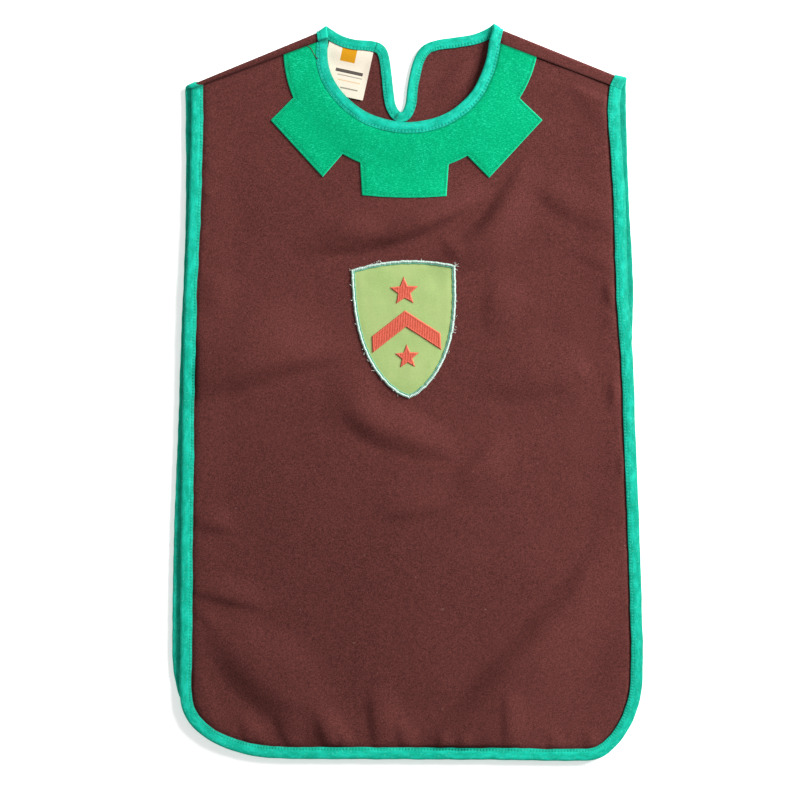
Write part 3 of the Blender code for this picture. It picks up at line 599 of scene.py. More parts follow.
def nearest(points, path):
    """The distance of each point to the nearest of the path's points."""
    found = np.empty(len(points))
    for first in range(0, len(points), 1500):
        some = points[first : first + 1500]
        away = np.hypot(some[:, :1] - path[:, 0], some[:, 1:] - path[:, 1])
        found[first : first + 1500] = away.min(axis=1)
    return found


def inside(points, outline):
    """Which of the points lie inside a closed outline."""
    found = np.zeros(len(points), dtype=bool)
    x, y = points.T
    for (ax, ay), (bx, by) in zip(outline, np.roll(outline, -1, axis=0)):
        if ay != by:
            spans = (y < ay) != (y < by)
            found[spans] ^= x[spans] < ax + (y[spans] - ay) * (bx - ax) / (by - ay)
    return found


def along_fold(shoulder):
    """The way along the shoulder's top fold, from the neck to the arm."""
    return unit(shoulder.arm - shoulder.neck)


def over_fold(shoulder):
    """The way square across the shoulder's top fold, away from the panel."""
    across = left_of(along_fold(shoulder))
    return across if across[1] > 0 else -across


def past_fold(shoulder, points):
    """How far points of the flat cut lie past the line where the fold begins."""
    start = shoulder.neck - over_fold(shoulder) * (FOLD_RADIUS + HALF_CLOTH_SOLID)
    return (np.asarray(points) - start) @ over_fold(shoulder)


def unfolded(shoulder, seen):
    """The place in the flat cut of a point seen on the strip that lies over the front."""
    depth = -past_fold(shoulder, seen)
    return seen + over_fold(shoulder) * (math.pi * FOLD_RADIUS + 2 * depth)


def on_crest(shoulder, seen):
    """The place in the flat cut, half way round the fold, of a point seen on its crest."""
    shift = math.pi * FOLD_RADIUS / 2 - past_fold(shoulder, seen)
    return seen + over_fold(shoulder) * shift


def seam_seen(shoulder, shift):
    """The shoulder seam seen on the front, moved down by a shift, with the panel on its left."""
    across = over_fold(shoulder)
    neck = shoulder.neck - across * (shoulder.strip_at_neck + shift)
    arm = shoulder.arm - across * (shoulder.strip_at_arm + shift)
    return (neck, arm) if arm[0] < neck[0] else (arm, neck)


def seam_unfolded(shoulder, shift):
    """The shoulder seam in the flat cut of the back, with the panel on its left."""
    start, end = seam_seen(shoulder, shift)
    return unfolded(shoulder, start), unfolded(shoulder, end)


def turned_edge(shoulder, crest, seam_end):
    """An edge of the back from its crest on the fold to just past its seam, in the flat cut."""
    top = on_crest(shoulder, crest)
    end = unfolded(shoulder, seam_end)
    return [top, end, end + over_fold(shoulder) * SEAM_OVERRUN]


def corner_points(corner, side):
    """Points of a rounded bottom corner, from its side edge down to the hem."""
    points = []
    for k in range(CORNER_STEPS + 1):
        angle = math.pi / 2 * k / CORNER_STEPS
        across = corner.reach_x * math.cos(angle) ** (2 / corner.power)
        down = corner.reach_y * math.sin(angle) ** (2 / corner.power)
        points.append(np.array((corner.x + side * across, corner.y - down)))
    return points


def sides_and_hem(sections, left_corner, right_corner):
    """Points down the left edge, along the hem and up the right edge."""
    left = [np.array((row.left, row.y)) for row in sections]
    right = [np.array((row.right, row.y)) for row in sections]
    left += corner_points(left_corner, -1)
    right += corner_points(right_corner, 1)
    hem = [left[-1] + (right[-1] - left[-1]) * share for share in (1 / 3, 2 / 3)]
    return left + hem + right[::-1]


def on_collar(angle, radius):
    """A point round the collar's centre."""
    return COLLAR_CENTRE + direction(math.radians(angle)) * radius


def collar_edge(start, start_radius, end, end_radius):
    """Points round the collar's ring between two angles."""
    steps = max(1, round((end - start) / COLLAR_STEP))
    shares = [k / steps for k in range(steps + 1)]
    return [
        on_collar(start + (end - start) * share, start_radius + (end_radius - start_radius) * share)
        for share in shares
    ]


def tab_edge(tab):
    """The outer edge of a collar tab, bowed a little at its middle where it has a bow."""
    start = on_collar(tab.corner_start, COLLAR_TAB_RADIUS)
    end = on_collar(tab.corner_end, COLLAR_TAB_RADIUS)
    points = []
    for share in (0, 0.25, 0.5, 0.75, 1):
        point = start + (end - start) * share
        bow = tab.bow * 4 * share * (1 - share)
        points.append(point + unit(point - COLLAR_CENTRE) * bow)
    return points


def collar_outer_edge():
    """The felt collar's free edge, from the left shoulder round its tabs to the right one."""
    points = []
    angle, radius = LEFT_STRAP
    for tab in COLLAR_TABS:
        points += collar_edge(angle, radius, tab.root_start, COLLAR_RADIUS)
        points += tab_edge(tab)
        angle, radius = tab.root_end, COLLAR_RADIUS
    points += collar_edge(angle, radius, *RIGHT_STRAP)
    return np.array(points)


def on_shield(across, down):
    """Points of the front panel from their places on the shield."""
    turn = direction(SHIELD_TILT)
    across, down = np.asarray(across, float), np.asarray(down, float)
    return SHIELD_TOP + across[..., None] * turn - down[..., None] * left_of(turn)


def shield_outline():
    """The shield from its top right corner along the crown, and down and round its point."""
    shares = np.linspace(1, -1, SHIELD_STEPS // 2 + 1)
    crown = on_shield(shares * SHIELD_WIDTH / 2, SHIELD_CROWN * shares * shares)
    down = np.linspace(0, 1, SHIELD_STEPS + 1)[1:-1]
    depth = SHIELD_CROWN + (SHIELD_HEIGHT - SHIELD_CROWN) * down
    half = SHIELD_WIDTH / 2 * (1 - down**SHIELD_TAPER) ** SHIELD_BELLY
    left, right = on_shield(-half, depth), on_shield(half, depth)
    return np.vstack([crown, left, on_shield(0, SHIELD_HEIGHT), right[::-1]])


def chevron_outline():
    """An upturned V of one band across the shield."""
    half = CHEVRON_WIDTH / 2
    top = [(half, CHEVRON_RISE), (0, 0), (-half, CHEVRON_RISE)]
    lower = [(across, down + CHEVRON_BAND) for across, down in top]
    across, down = np.array(top + lower[::-1]).T
    return on_shield(across, CHEVRON_DROP + down)


def star_outline(star):
    """A five-pointed star on the shield, one point upwards."""
    k = np.arange(2 * STAR_POINTS)
    radius = np.where(k % 2 == 0, star.radius, star.radius * STAR_WAIST)
    angle = math.pi / 2 + math.pi * k / STAR_POINTS
    return on_shield(radius * np.cos(angle), star.down - radius * np.sin(angle))


def label_outline():
    """The label's rectangle, lying askew below the back neck binding."""
    turn = direction(LABEL_TILT)
    across = turn * LABEL_WIDTH / 2
    up = left_of(turn) * LABEL_LENGTH / 2
    return LABEL_CENTRE + np.array([across + up, up - across, -across - up, across - up])


def mitred(points, arriving, leaving, distance):
    """Points moved left of the ways that arrive at them and leave them, with mitred corners."""
    arriving, leaving = left_of(unit(arriving)), left_of(unit(leaving))
    middle = unit(arriving + leaving)
    reach = distance / np.maximum((middle * arriving).sum(axis=1), 0.3)
    return points + middle * reach[:, None]


def moved_in(outline, distance):
    """A closed outline that runs leftwards round its shape, moved in."""
    arriving = outline - np.roll(outline, 1, axis=0)
    return mitred(outline, arriving, np.roll(arriving, -1, axis=0), distance)


def moved_path(path, distance):
    """An open path moved to its left."""
    ways = np.diff(path, axis=0)
    return mitred(path, np.vstack([ways[:1], ways]), np.vstack([ways, ways[-1:]]), distance)


def spaced_path(path, spacing):
    """An open path with points about a spacing apart, its corners kept."""
    rows = [evenly([start, end], spacing)[:-1] for start, end in zip(path, path[1:])]
    return np.vstack([*rows, path[-1]])


def spaced_outline(outline, spacing):
    """A closed outline with points about a spacing apart, its corners kept."""
    return spaced_path(np.vstack([outline, outline[:1]]), spacing)[:-1]


def crease_path(row):
    """Points along a fold's arch from its start through its middle to its end."""
    start, middle, end = (np.array(point, float) for point in (row[0:2], row[2:4], row[4:6]))
    pull = 2 * middle - (start + end) / 2
    shares = np.linspace(0, 1, CREASE_POINTS)[:, None]
    return start * (1 - shares) ** 2 + 2 * pull * shares * (1 - shares) + end * shares**2


def crease_lift(points, creases):
    """How far the folds raise or lower each point."""
    lift = np.zeros(len(points))
    for row in creases:
        path = crease_path(row)
        reach = max(row.left, row.right)
        low, high = path.min(axis=0) - reach, path.max(axis=0) + reach
        close = np.flatnonzero(((points > low) & (points < high)).all(axis=1))
        best = np.full(len(close), np.inf)
        place, side = np.zeros(len(close)), np.zeros(len(close))
        for k, (here, ahead) in enumerate(zip(path, path[1:])):
            way = ahead - here
            away = points[close] - here
            share = np.clip(away @ way / (way @ way), 0, 1)
            far = np.linalg.norm(away - share[:, None] * way, axis=1)
            nearer = far < best
            best[nearer] = far[nearer]
            place[nearer] = (k + share[nearer]) / (len(path) - 1)
            side[nearer] = (away @ left_of(way))[nearer]
        swell = np.sin(math.pi * np.clip(place, 0, 1)) ** CREASE_SWELL
        width = np.where(side > 0, row.left, row.right)
        width = width * (CREASE_END_WIDTH + (1 - CREASE_END_WIDTH) * swell)
        lift[close] += row.rise * swell * np.clip(1 - (best / width) ** 2, 0, 1) ** 2
    return lift


class Front:
    """The front panel's cut, and its shape on the table."""

    def __init__(self, sample):
        """Draw the edges of the binding with points a sample apart."""
        right = [(row.right, row.y) for row in FRONT_NECK_SECTIONS]
        left = [(row.left, row.y) for row in FRONT_NECK_SECTIONS]
        neck = right + [NECK_LOW_POINT] + left[::-1]
        sides = sides_and_hem(FRONT_SECTIONS, FRONT_LEFT_CORNER, FRONT_RIGHT_CORNER)
        self.side = edge_of(sides, sample, wobble=SIDE_WOBBLE, seed=3)
        self.neck = edge_of(neck, sample, wobble=NECK_WOBBLE, seed=4)
        self.seams = [seam_seen(shoulder, 0.0) for shoulder in SHOULDERS]
        self.outline = outline_of(self, 0.0, OUTLINE_SPACING)

    def heights(self, points):
        """The height of the middle of the cloth above the table."""
        away = nearest(points, self.outline)
        share = rising(away, FRONT_EDGE_FLAT, FRONT_EDGE_SLOPE)
        wander = np.column_stack([relief(points, row) for row in FOLD_WANDER])
        folds = crease_lift(points + wander, FRONT_CREASES)
        folds *= FOLDS_AT_EDGE + (1 - FOLDS_AT_EDGE) * rising(away, FOLDS_START, FOLDS_FADE)
        soft = relief(points, FRONT_RUMPLE) + relief(points, FRONT_FINE_RUMPLE)
        soft += relief(points, TAPE_RUMPLE) * bell(away - TAPE_RUMPLE_PLACE, TAPE_RUMPLE_WIDTH)
        dip = SEAM_DIP * bell(seams_side(self.seams, points), SEAM_DIP_WIDTH)
        dip *= rising(away, 10, 3)
        dip += TUCK_DIP * bell(away_from(self.side, points) - TAPE_SIDE, TUCK_DIP_WIDTH)
        return FRONT_EDGE_HEIGHT + (FRONT_HEIGHT - FRONT_EDGE_HEIGHT) * share + folds + soft - dip

    def place(self, points, out):
        """Points in space, each moved out from the middle of the cloth."""
        return np.column_stack([points, self.heights(points) + out])


def away_from(edge, points):
    """How far points lie from an edge."""
    return nearest(points, edge.points[::3])


def rolled_over(shoulder, points, height, out):
    """Points of the back in space, rolled round a shoulder's fold where they lie past its start.

    Before the fold each point has its own height. Past it, each lies a distance out from the cloth.
    """
    across = over_fold(shoulder)
    past = past_fold(shoulder, points)
    angle = np.clip(past / FOLD_RADIUS, 0, math.pi)
    radius = FOLD_RADIUS - out
    reach = radius * np.sin(angle) - np.maximum(past - math.pi * FOLD_RADIUS, 0)
    rise = FOLD_RADIUS - radius * np.cos(angle)
    rolled = points - across * past[:, None] + across * reach[:, None]
    seen = np.where(past[:, None] > 0, rolled, points)
    for corner in (shoulder.peak, shoulder.tip):
        pull = (corner - shoulder.neck) @ across
        close = np.clip(1 - np.linalg.norm(seen - corner, axis=1) / CORNER_REACH, 0, 1)
        seen = seen + across * (pull * close**CORNER_POWER)[:, None]
    return np.column_stack([seen, np.where(past > 0, BACK_EDGE_HEIGHT + rise, height)])


class Back:
    """The back panel's cut, and its shape on the table with its shoulders rolled over."""

    def __init__(self, sample):
        """Draw the edges of the binding with points a sample apart."""
        left, right = SHOULDERS
        start = turned_edge(left, left.tip, left.seam_at_arm)
        end = turned_edge(right, right.tip, right.seam_at_arm)
        sides = sides_and_hem(BACK_SECTIONS, BACK_LEFT_CORNER, BACK_RIGHT_CORNER)
        first = turned_edge(right, right.peak, right.seam_at_neck)
        last = turned_edge(left, left.peak, left.seam_at_neck)
        self.side = edge_of(start[::-1] + sides + end, sample, wobble=SIDE_WOBBLE, seed=5)
        self.neck = edge_of(first[::-1] + BACK_NECK + last, sample)
        self.seams = [seam_unfolded(shoulder, 0.0) for shoulder in SHOULDERS]
        self.outline = outline_of(self, 0.0, OUTLINE_SPACING)

    def lift(self, points, away):
        """How far the folds and the turned-up edge lie above the plain back."""
        soft = BACK_RUMPLE.height * (1 + rumple(points, *BACK_RUMPLE[1:]))
        lift = crease_lift(points, BACK_CREASES) + soft
        lift *= rising(away, BACK_EDGE_FLAT, BACK_EDGE_SLOPE)
        shown = np.where(points[:, 0] < 0, 1, rising(points[:, 1], CURL_FOOT, CURL_FADE))
        curl = np.clip(1 - away_from(self.side, points) / CURL_WIDTH, 0, 1) ** 2
        return lift + CURL_RISE * shown * curl

    def place(self, points, out):
        """Points in space, each moved out from the middle of the cloth."""
        out = np.broadcast_to(out, len(points))
        placed = np.empty((len(points), 3))
        away = nearest(points, np.vstack([self.side.points[::3], self.neck.points[::3]]))
        lift = self.lift(points, away)
        dip = SEAM_DIP * bell(seams_side(self.seams, points), SEAM_DIP_WIDTH) * rising(away, 9, 3)
        for shoulder, here in zip(SHOULDERS, (points[:, 0] < 0, points[:, 0] >= 0)):
            before = np.minimum(away[here], -past_fold(shoulder, points[here]))
            inner = rising(before, BACK_EDGE_FLAT, BACK_EDGE_SLOPE)
            flat = BACK_EDGE_HEIGHT + (BACK_HEIGHT - BACK_EDGE_HEIGHT) * inner + lift[here]
            stepped = out[here] - shoulder.seam_step * dip[here]
            placed[here] = rolled_over(shoulder, points[here], flat + out[here], stepped)
        return placed


def outline_of(panel, distance, spacing):
    """A panel's closed outline at one distance in from the outer edge of its binding."""
    rows = []
    for edge in (panel.side, panel.neck):
        path = trimmed(edge.points + edge.inward * distance, panel.seams)
        rows.append(evenly(path, spacing))
    gaps = [evenly([rows[0][-1], rows[1][0]], spacing), evenly([rows[1][-1], rows[0][0]], spacing)]
    return np.vstack([rows[0], gaps[0][1:-1], rows[1], gaps[1][1:-1]])


def staggered(outline, spacing):
    """Staggered rows of points inside an outline, clear of it."""
    low, high = outline.min(axis=0), outline.max(axis=0)
    rows = []
    height = spacing * math.sqrt(3) / 2
    for k, y in enumerate(np.arange(low[1], high[1], height)):
        x = np.arange(low[0] + spacing / 2 * (k % 2), high[0], spacing)
        rows.append(np.column_stack([x, np.full(len(x), y)]))
    points = np.vstack(rows)
    points = points[inside(points, outline)]
    return points[nearest(points, spaced_outline(outline, spacing / 2)) > spacing * 0.55]


def triangulated(outline, paths, loose, keep=None):
    """Triangles that fill an outline, with lines and loose points among their corners."""
    corners = [*map(tuple, outline)]
    edges = [(k, (k + 1) % len(corners)) for k in range(len(corners))]
    for path in paths:
        first = len(corners)
        corners += [*map(tuple, path)]
        edges += [(k, k + 1) for k in range(first, len(corners) - 1)]
    corners += [*map(tuple, loose)]
    joined = delaunay_2d_cdt(corners, edges, [], 0, 0.001)
    points = np.array([tuple(point) for point in joined[0]])
    faces = np.array([tuple(face) for face in joined[2]])
    middles = points[faces].mean(axis=1)
    kept = inside(middles, outline)
    if keep is not None:
        kept &= keep(middles)
    faces = faces[kept]
    a, b, c = (points[faces[:, k]] for k in range(3))
    turned = np.cross(b - a, c - a) < 0
    faces[turned] = faces[turned][:, ::-1]
    used, faces = np.unique(faces, return_inverse=True)
    return points[used], faces.reshape(-1, 3)


def open_edges(faces):
    """The edges that only one of the triangles has, in that triangle's direction."""
    pairs = np.vstack([faces[:, [0, 1]], faces[:, [1, 2]], faces[:, [2, 0]]])
    one = pairs[:, 0] * (faces.max() + 1) + pairs[:, 1]
    other = pairs[:, 1] * (faces.max() + 1) + pairs[:, 0]
    return pairs[~np.isin(one, other)]


def finished(name, points, faces, surface, angle=50.0, **attributes):
    """Make a named mesh from points in millimetres, with smooth shading and any attributes."""
    data = bpy.data.meshes.new(name)
    data.from_pydata((points * MM).tolist(), [], faces)
    for label, values in attributes.items():
        values = np.asarray(values, np.float32)
        kind = "FLOAT" if values.ndim == 1 else "FLOAT_VECTOR"
        field = "value" if values.ndim == 1 else "vector"
        data.attributes.new(label, kind, "POINT").data.foreach_set(field, values.ravel())
    data.shade_smooth()
    data.set_sharp_from_angle(angle=math.radians(angle))
    data.materials.append(surface)
    piece = bpy.data.objects.new(name, data)
    bpy.context.scene.collection.objects.link(piece)
    return piece


def shell(name, cut, place, low, high, surface, **attributes):
    """A closed thin sheet over triangles of a cut, between two distances out from the cloth."""
    points, faces = cut
    count = len(points)
    low, high = np.broadcast_to(low, count), np.broadcast_to(high, count)
    placed = place(np.vstack([points, points]), np.r_[high, low])
    rim = open_edges(faces)
    walls = np.column_stack([rim[:, 1], rim[:, 0], rim[:, 0] + count, rim[:, 1] + count])
    rows = faces.tolist() + (faces[:, ::-1] + count).tolist() + walls.tolist()
    doubled = {label: np.concatenate([values, values]) for label, values in attributes.items()}
    return finished(name, placed, rows, surface, **doubled)


def swept(rows, columns, closed_along):
    """Quads that join closed rows of points to each other, with the ends capped."""
    index = np.arange(rows * columns).reshape(rows, columns)
    ahead = np.roll(index, -1, axis=0) if closed_along else index[1:]
    here = index if closed_along else index[:-1]
    quads = np.stack([here, np.roll(here, -1, axis=1), np.roll(ahead, -1, axis=1), ahead], axis=-1)
    faces = quads.reshape(-1, 4).tolist()
    if not closed_along:
        faces += [index[0][::-1].tolist(), index[-1].tolist()]
    return faces


def tape_profile(width, half, thickness):
    """The folded tape's section from its upper inner edge round the outside and back within.

    Each point has its distance in from the outer edge, its distance out from the middle of the
    cloth, and how far stitching presses it.
    """
    clear = half - thickness
    top = [
        (width, clear + 0.10, 0.3),
        (width - 0.25, clear + 0.42 * thickness, 0.5),
        (width - 0.9, half - 0.22, 0.8),
        (width - STITCH_INSET, half - 0.42, 1.0),
        (width - STITCH_INSET - 1.0, half - 0.14, 0.5),
        (width * 0.60, half - 0.02, 0.1),
        (width * 0.38, half + 0.04, 0.0),
        (width * 0.20, half - 0.02, 0.0),
    ]
    bend = []
    for degrees in (62, 36, 12, -12, -36, -62):
        angle = math.radians(degrees)
        bend.append((half * 0.9 * (1 - math.cos(angle)), (half - 0.05) * math.sin(angle), 0.0))
    under = [(across, -out, press) for across, out, press in top[::-1]]
    within = [(width, -clear), (1.9, -clear), (1.2, 0.0), (1.9, clear), (width, clear)]
    return np.array(top + bend + under + [(across, out, 0.0) for across, out in within])


def tape_places(panel, edge, across):
    """Places along an edge for each row of the tape, its ends cut along the panel's seams."""
    spans = [span_within(edge.points + edge.inward * far, panel.seams) for far in across]
    starts, ends = zip(*spans)
    middle = np.arange(math.floor(max(starts)) + 2, math.ceil(min(ends)) - 1)
    return np.vstack([starts, np.repeat(middle[:, None], len(across), axis=1), ends])


def tape_shade(panel, edge, width, profile, places, points, hole, joins_and_pleat_shade, painted_right_shade):
    """How dark the tape is at each point, from its painted shade and dark joins listed at the top."""
    across, out, press = profile.T
    # Painted shade: stitch holes, the inner edge's rim, the bend facing the light, the back's right
    # side, the seams
    shade = press * (0.25 + 0.75 * hole) * (press > 0.4) * STITCH_SHADE
    lines = [np.clip(1 - (width - across) / 0.5, 0, 1) * (out > 0)]
    facing = np.clip(-(at_places(edge.inward, places) @ LIGHT_WAY), 0, 1)
    bend = np.clip(1 - across / BEND_WIDTH, 0, 1) ** 0.7 * (out > -0.9)
    lines.append(BEND_SHADE * facing * bend)
    lines.append(painted_right_shade * ease(points[..., 0] / PAINTED_SHADE_REACH))
    # A dark line at each join of the tape, and painted shade of the pleat at the slit's foot
    for join_or_pleat in joins_and_pleat_shade:
        far = np.linalg.norm(edge.points + edge.inward * width / 2 - join_or_pleat.at, axis=1)
        away = np.abs(places - far.argmin()) * edge.step
        lines.append(join_or_pleat.depth * bell(away, JOIN_OR_PLEAT_WIDTH))
    for seam, depth in zip(panel.seams, SEAM_SHADES):
        away = side_of(seam, points.reshape(-1, 2)).reshape(places.shape)
        lines.append(depth * bell(away, SEAM_SHADE_WIDTH))
    for line in lines:
        shade = np.maximum(shade, line)
    return shade


def tape(name, panel, edge, width, sizes, surface, seed, joins_and_pleat_shade=(), painted_right_shade=0.0):
    """A tape folded round one edge of a panel, pressed in along its stitching."""
    profile = tape_profile(width, sizes.half_tape / MM, sizes.tape / MM)
    across, out, press = profile.T
    places = tape_places(panel, edge, across)
    stretch = np.arange(len(edge.points)) * edge.step
    widening = 0.13 * waves(stretch, 10, 45, seed) + 0.16 * waves(stretch, 45, 140, seed + 1)
    share = np.clip(across / width, 0, 1) ** 2
    reach = across + share * np.interp(places, np.arange(len(widening)), widening)
    points = at_places(edge.points, places) + at_places(edge.inward, places) * reach[..., None]
    hole = np.clip(np.cos(2 * math.pi * places / SAMPLES_A_STITCH), 0, 1) ** 3
    puff = 1 + 0.03 * waves(stretch, 8, 30, seed + 2)[np.clip(places.round().astype(int), 0, None)]
    pressed = np.sign(out) * press * (PRESSED + PRESSED_AT_STITCH * hole)
    shape = out * np.where(press > 0.2, 1, puff) - pressed
    placed = panel.place(points.reshape(-1, 2), shape.ravel())
    steps = np.linalg.norm(np.diff(np.column_stack([across, out]), axis=0), axis=1)
    around = np.broadcast_to(np.r_[0, np.cumsum(steps)], places.shape)
    way = np.stack([places * edge.step, around, np.zeros_like(places)], axis=-1)
    shade = tape_shade(panel, edge, width, profile, places, points, hole, joins_and_pleat_shade, painted_right_shade)
    faces = [face[::-1] for face in swept(*places.shape, closed_along=False)]
    return finished(name, placed, faces, surface, angle=70,
                    tape_way=way.reshape(-1, 3) * MM, shade=shade.ravel())


def one_stitch():
    """The points and faces of one stitch of thread along X, of length and width 1."""
    bpy.ops.object.select_all(action="DESELECT")
    bpy.ops.mesh.primitive_uv_sphere_add(segments=6, ring_count=5, radius=0.5)
    ball = bpy.context.object
    bpy.ops.object.mode_set(mode="EDIT")
    bpy.ops.mesh.select_all(action="SELECT")
    bpy.ops.transform.rotate(value=math.pi / 2, orient_axis="Y", center_override=(0, 0, 0))
    bpy.ops.object.mode_set(mode="OBJECT")
    points = np.array([tuple(vertex.co) for vertex in ball.data.vertices])
    faces = [tuple(face.vertices) for face in ball.data.polygons]
    bpy.data.objects.remove(ball)
    longways = np.sign(points[:, 0]) * np.abs(points[:, 0] * 2) ** 0.5 / 2
    return np.column_stack([longways, points[:, 1:]]), faces


def stitches(name, rows, thickness, surface):
    """Many stitches in one mesh: each row has its two ends and the way out of the cloth."""
    shape, faces = one_stitch()
    start, end, above = (np.asarray(part, float) for part in rows)
    along = end - start
    out = unit(above)
    across = unit(np.cross(out, along))
    out = unit(np.cross(along, across))
    middle = (start + end) / 2
    placed = (
        middle[:, None]
        + shape[None, :, :1] * along[:, None]
        + shape[None, :, 1:2] * across[:, None] * thickness
        + shape[None, :, 2:] * out[:, None] * thickness
    )
    count = len(shape)
    joined = [[k * count + corner for corner in face] for k in range(len(start)) for face in faces]
    return finished(name, placed.reshape(-1, 3), joined, surface, angle=80)


def stitch_row(panel, path, places, half_length, level):
    """The ends of stitches along a path of the cut, and the way out of the cloth at each."""
    start = at_places(path, places - half_length)
    end = at_places(path, places + half_length)
    first, last = panel.place(start, level), panel.place(end, level)
    above = panel.place(start, level + np.sign(level) * 0.5) - first
    return first, last, above


def upwards(count):
    """The way up, once for each of a number of stitches."""
    return np.tile((0.0, 0.0, 1.0), (count, 1))


def stitch_places(path, seams):
    """The places of whole stitches along a path between the seams."""
    start, end = span_within(path, seams)
    first, last = math.ceil(start / SAMPLES_A_STITCH) + 0.5, end / SAMPLES_A_STITCH - 0.5
    return np.arange(first, last) * SAMPLES_A_STITCH


def edge_stitches(name, panel, edges, sizes, surface):
    """Both rows of stitching, above and below, along the tapes of a panel."""
    level = sizes.half_tape / MM - STITCH_DROP
    parts = []
    for edge, width in edges:
        path = edge.points + edge.inward * (width - STITCH_INSET)
        places = stitch_places(path, panel.seams)
        parts += [stitch_row(panel, path, places, TAPE_HALF_STITCH, out) for out in (level, -level)]
    joined = [np.vstack(part) for part in zip(*parts)]
    return stitches(name, joined, sizes.thread / MM, surface)


def shared_effect(name, spacings, build):
    """A node group for one surface effect, built once, that reads a vector and named spacings."""
    if name in bpy.data.node_groups:
        return bpy.data.node_groups[name]
    tree = bpy.data.node_groups.new(name, "ShaderNodeTree")
    tree.interface.new_socket("Vector", in_out="INPUT", socket_type="NodeSocketVector")
    for label in spacings:
        tree.interface.new_socket(label, in_out="INPUT", socket_type="NodeSocketFloat")
    results = build(tree, tree.nodes.new("NodeGroupInput").outputs)
    for label in results:
        tree.interface.new_socket(label, in_out="OUTPUT", socket_type="NodeSocketFloat")
    ends = tree.nodes.new("NodeGroupOutput")
    for label, value in results.items():
        tree.links.new(value, ends.inputs[label])
    return tree


def added(tree, kind, values=None, **settings):
    """A new node with its settings, and its inputs given as values or as other sockets."""
    node = tree.nodes.new(kind)
    for key, value in settings.items():
        setattr(node, key, value)
    for key, value in (values or {}).items():
        socket = node.inputs[key]
        if isinstance(value, bpy.types.NodeSocket):
            tree.links.new(value, socket)
        else:
            socket.default_value = value
    return node


def maths(tree, operation, *values):
    """The result of one Math node."""
    node = added(tree, "ShaderNodeMath", dict(enumerate(values)), operation=operation)
    return node.outputs[0]


def plus(tree, *values):
    """The sum of values."""
    total = values[0]
    for value in values[1:]:
        total = maths(tree, "ADD", total, value)
    return total


def times(tree, first, second):
    """The product of two values."""
    return maths(tree, "MULTIPLY", first, second)


def ripple(tree, along, spacing):
    """A sine wave along a value, its crests a spacing apart."""
    return maths(tree, "SINE", maths(tree, "DIVIDE", times(tree, along, 2 * math.pi), spacing))


def split(tree, vector):
    """The parts of a vector."""
    return added(tree, "ShaderNodeSeparateXYZ", {"Vector": vector}).outputs


def stretched(tree, vector, scale, turn=0.0):
    """A vector turned about Z and stretched, so that a pattern on it is drawn out."""
    values = {"Vector": vector, "Rotation": (0, 0, turn), "Scale": scale}
    return added(tree, "ShaderNodeMapping", values).outputs["Vector"]


def ramped(tree, value, low, high, to_low=0.0, to_high=1.0):
    """A value mapped smoothly from one range to another."""
    node = added(
        tree, "ShaderNodeMapRange",
        {"Value": value, "From Min": low, "From Max": high, "To Min": to_low, "To Max": to_high},
        interpolation_type="SMOOTHSTEP",
    )
    return node.outputs["Result"]


def noise(tree, vector, scale, detail=2.0, roughness=0.5):
    """A noise of about height 1, from a vector."""
    node = added(
        tree, "ShaderNodeTexNoise",
        {"Vector": vector, "Scale": scale, "Detail": detail, "Roughness": roughness},
    )
    return node.outputs["Fac"]


def twill(tree, given):
    """Fine diagonal ribs of a twill, with a slub here and there and soft wear."""
    vector = given["Vector"]
    parts = split(tree, vector)
    diagonal = plus(tree, parts["X"], times(tree, parts["Y"], 0.62))
    waver = times(tree, noise(tree, vector, 260.0, 1.0), 0.0009)
    rib = ripple(tree, plus(tree, diagonal, waver), given["Rib"])
    yarn = ripple(tree, parts["Y"], given["Yarn"])
    grain = noise(tree, vector, 1100.0, 2.0, 0.7)
    slub = ramped(tree, noise(tree, vector, 760.0, 3.0, 0.8), 0.36, 0.66)
    fine = ramped(tree, grain, 0.34, 0.68)
    return {
        "Height": plus(tree, times(tree, rib, 0.5), times(tree, yarn, 0.2), grain),
        "Tint": plus(tree, times(tree, slub, 0.5), times(tree, fine, 0.5)),
    }


def felt_flecks(tree, given):
    """Short pale fibres matted over a napped cloth, thicker in some places than others."""
    vector = given["Vector"]
    fibre = noise(tree, stretched(tree, vector, (1, 2.2, 1), 0.5), 480.0, 2.0, 0.65)
    crossed = noise(tree, stretched(tree, vector, (1, 2.4, 1), -0.8), 580.0, 2.0, 0.65)
    patch = ramped(tree, noise(tree, vector, 38.0, 3.0, 0.6), 0.35, 0.68)
    strands = plus(tree, maths(tree, "MAXIMUM", fibre, crossed), times(tree, patch, 0.04))
    return {
        "Height": plus(tree, fibre, crossed),
        "Fleck": ramped(tree, strands, 0.60, 0.72),
    }


def satin_threads(tree, given):
    """Rows of satin stitch that run along Y, side by side along X."""
    vector = given["Vector"]
    waver = times(tree, noise(tree, vector, 150.0, 2.0), 0.0006)
    row = ripple(tree, plus(tree, split(tree, vector)["X"], waver), given["Thread"])
    ridge = plus(tree, times(tree, row, 0.5), 0.5)
    streak = noise(tree, stretched(tree, vector, (1, 0.2, 1)), 900.0, 2.0, 0.6)
    mottle = ramped(tree, noise(tree, vector, 560.0, 3.0, 0.7), 0.34, 0.68)
    # The tint is lighter on each thread's crest, a painted highlight, with random streaks and mottle
    shares = times(tree, ridge, 0.28), times(tree, streak, 0.3), times(tree, mottle, 0.42)
    return {"Height": plus(tree, ridge, streak), "Tint": plus(tree, *shares)}


def tape_weave(tree, given):
    """A bias-cut satin: faint slanting ribs and long mottled patches where it catches light."""
    vector = given["Vector"]
    parts = split(tree, vector)
    rib = ripple(tree, plus(tree, parts["X"], parts["Y"]), given["Rib"])
    grain = noise(tree, vector, 800.0, 3.0, 0.7)
    patches = noise(tree, stretched(tree, vector, (0.35, 1, 1)), 210.0, 4.0, 0.68)
    return {
        "Height": plus(tree, times(tree, rib, 0.3), grain),
        "Mottle": ramped(tree, patches, 0.36, 0.70),
        "Grain": ramped(tree, grain, 0.3, 0.75),
    }


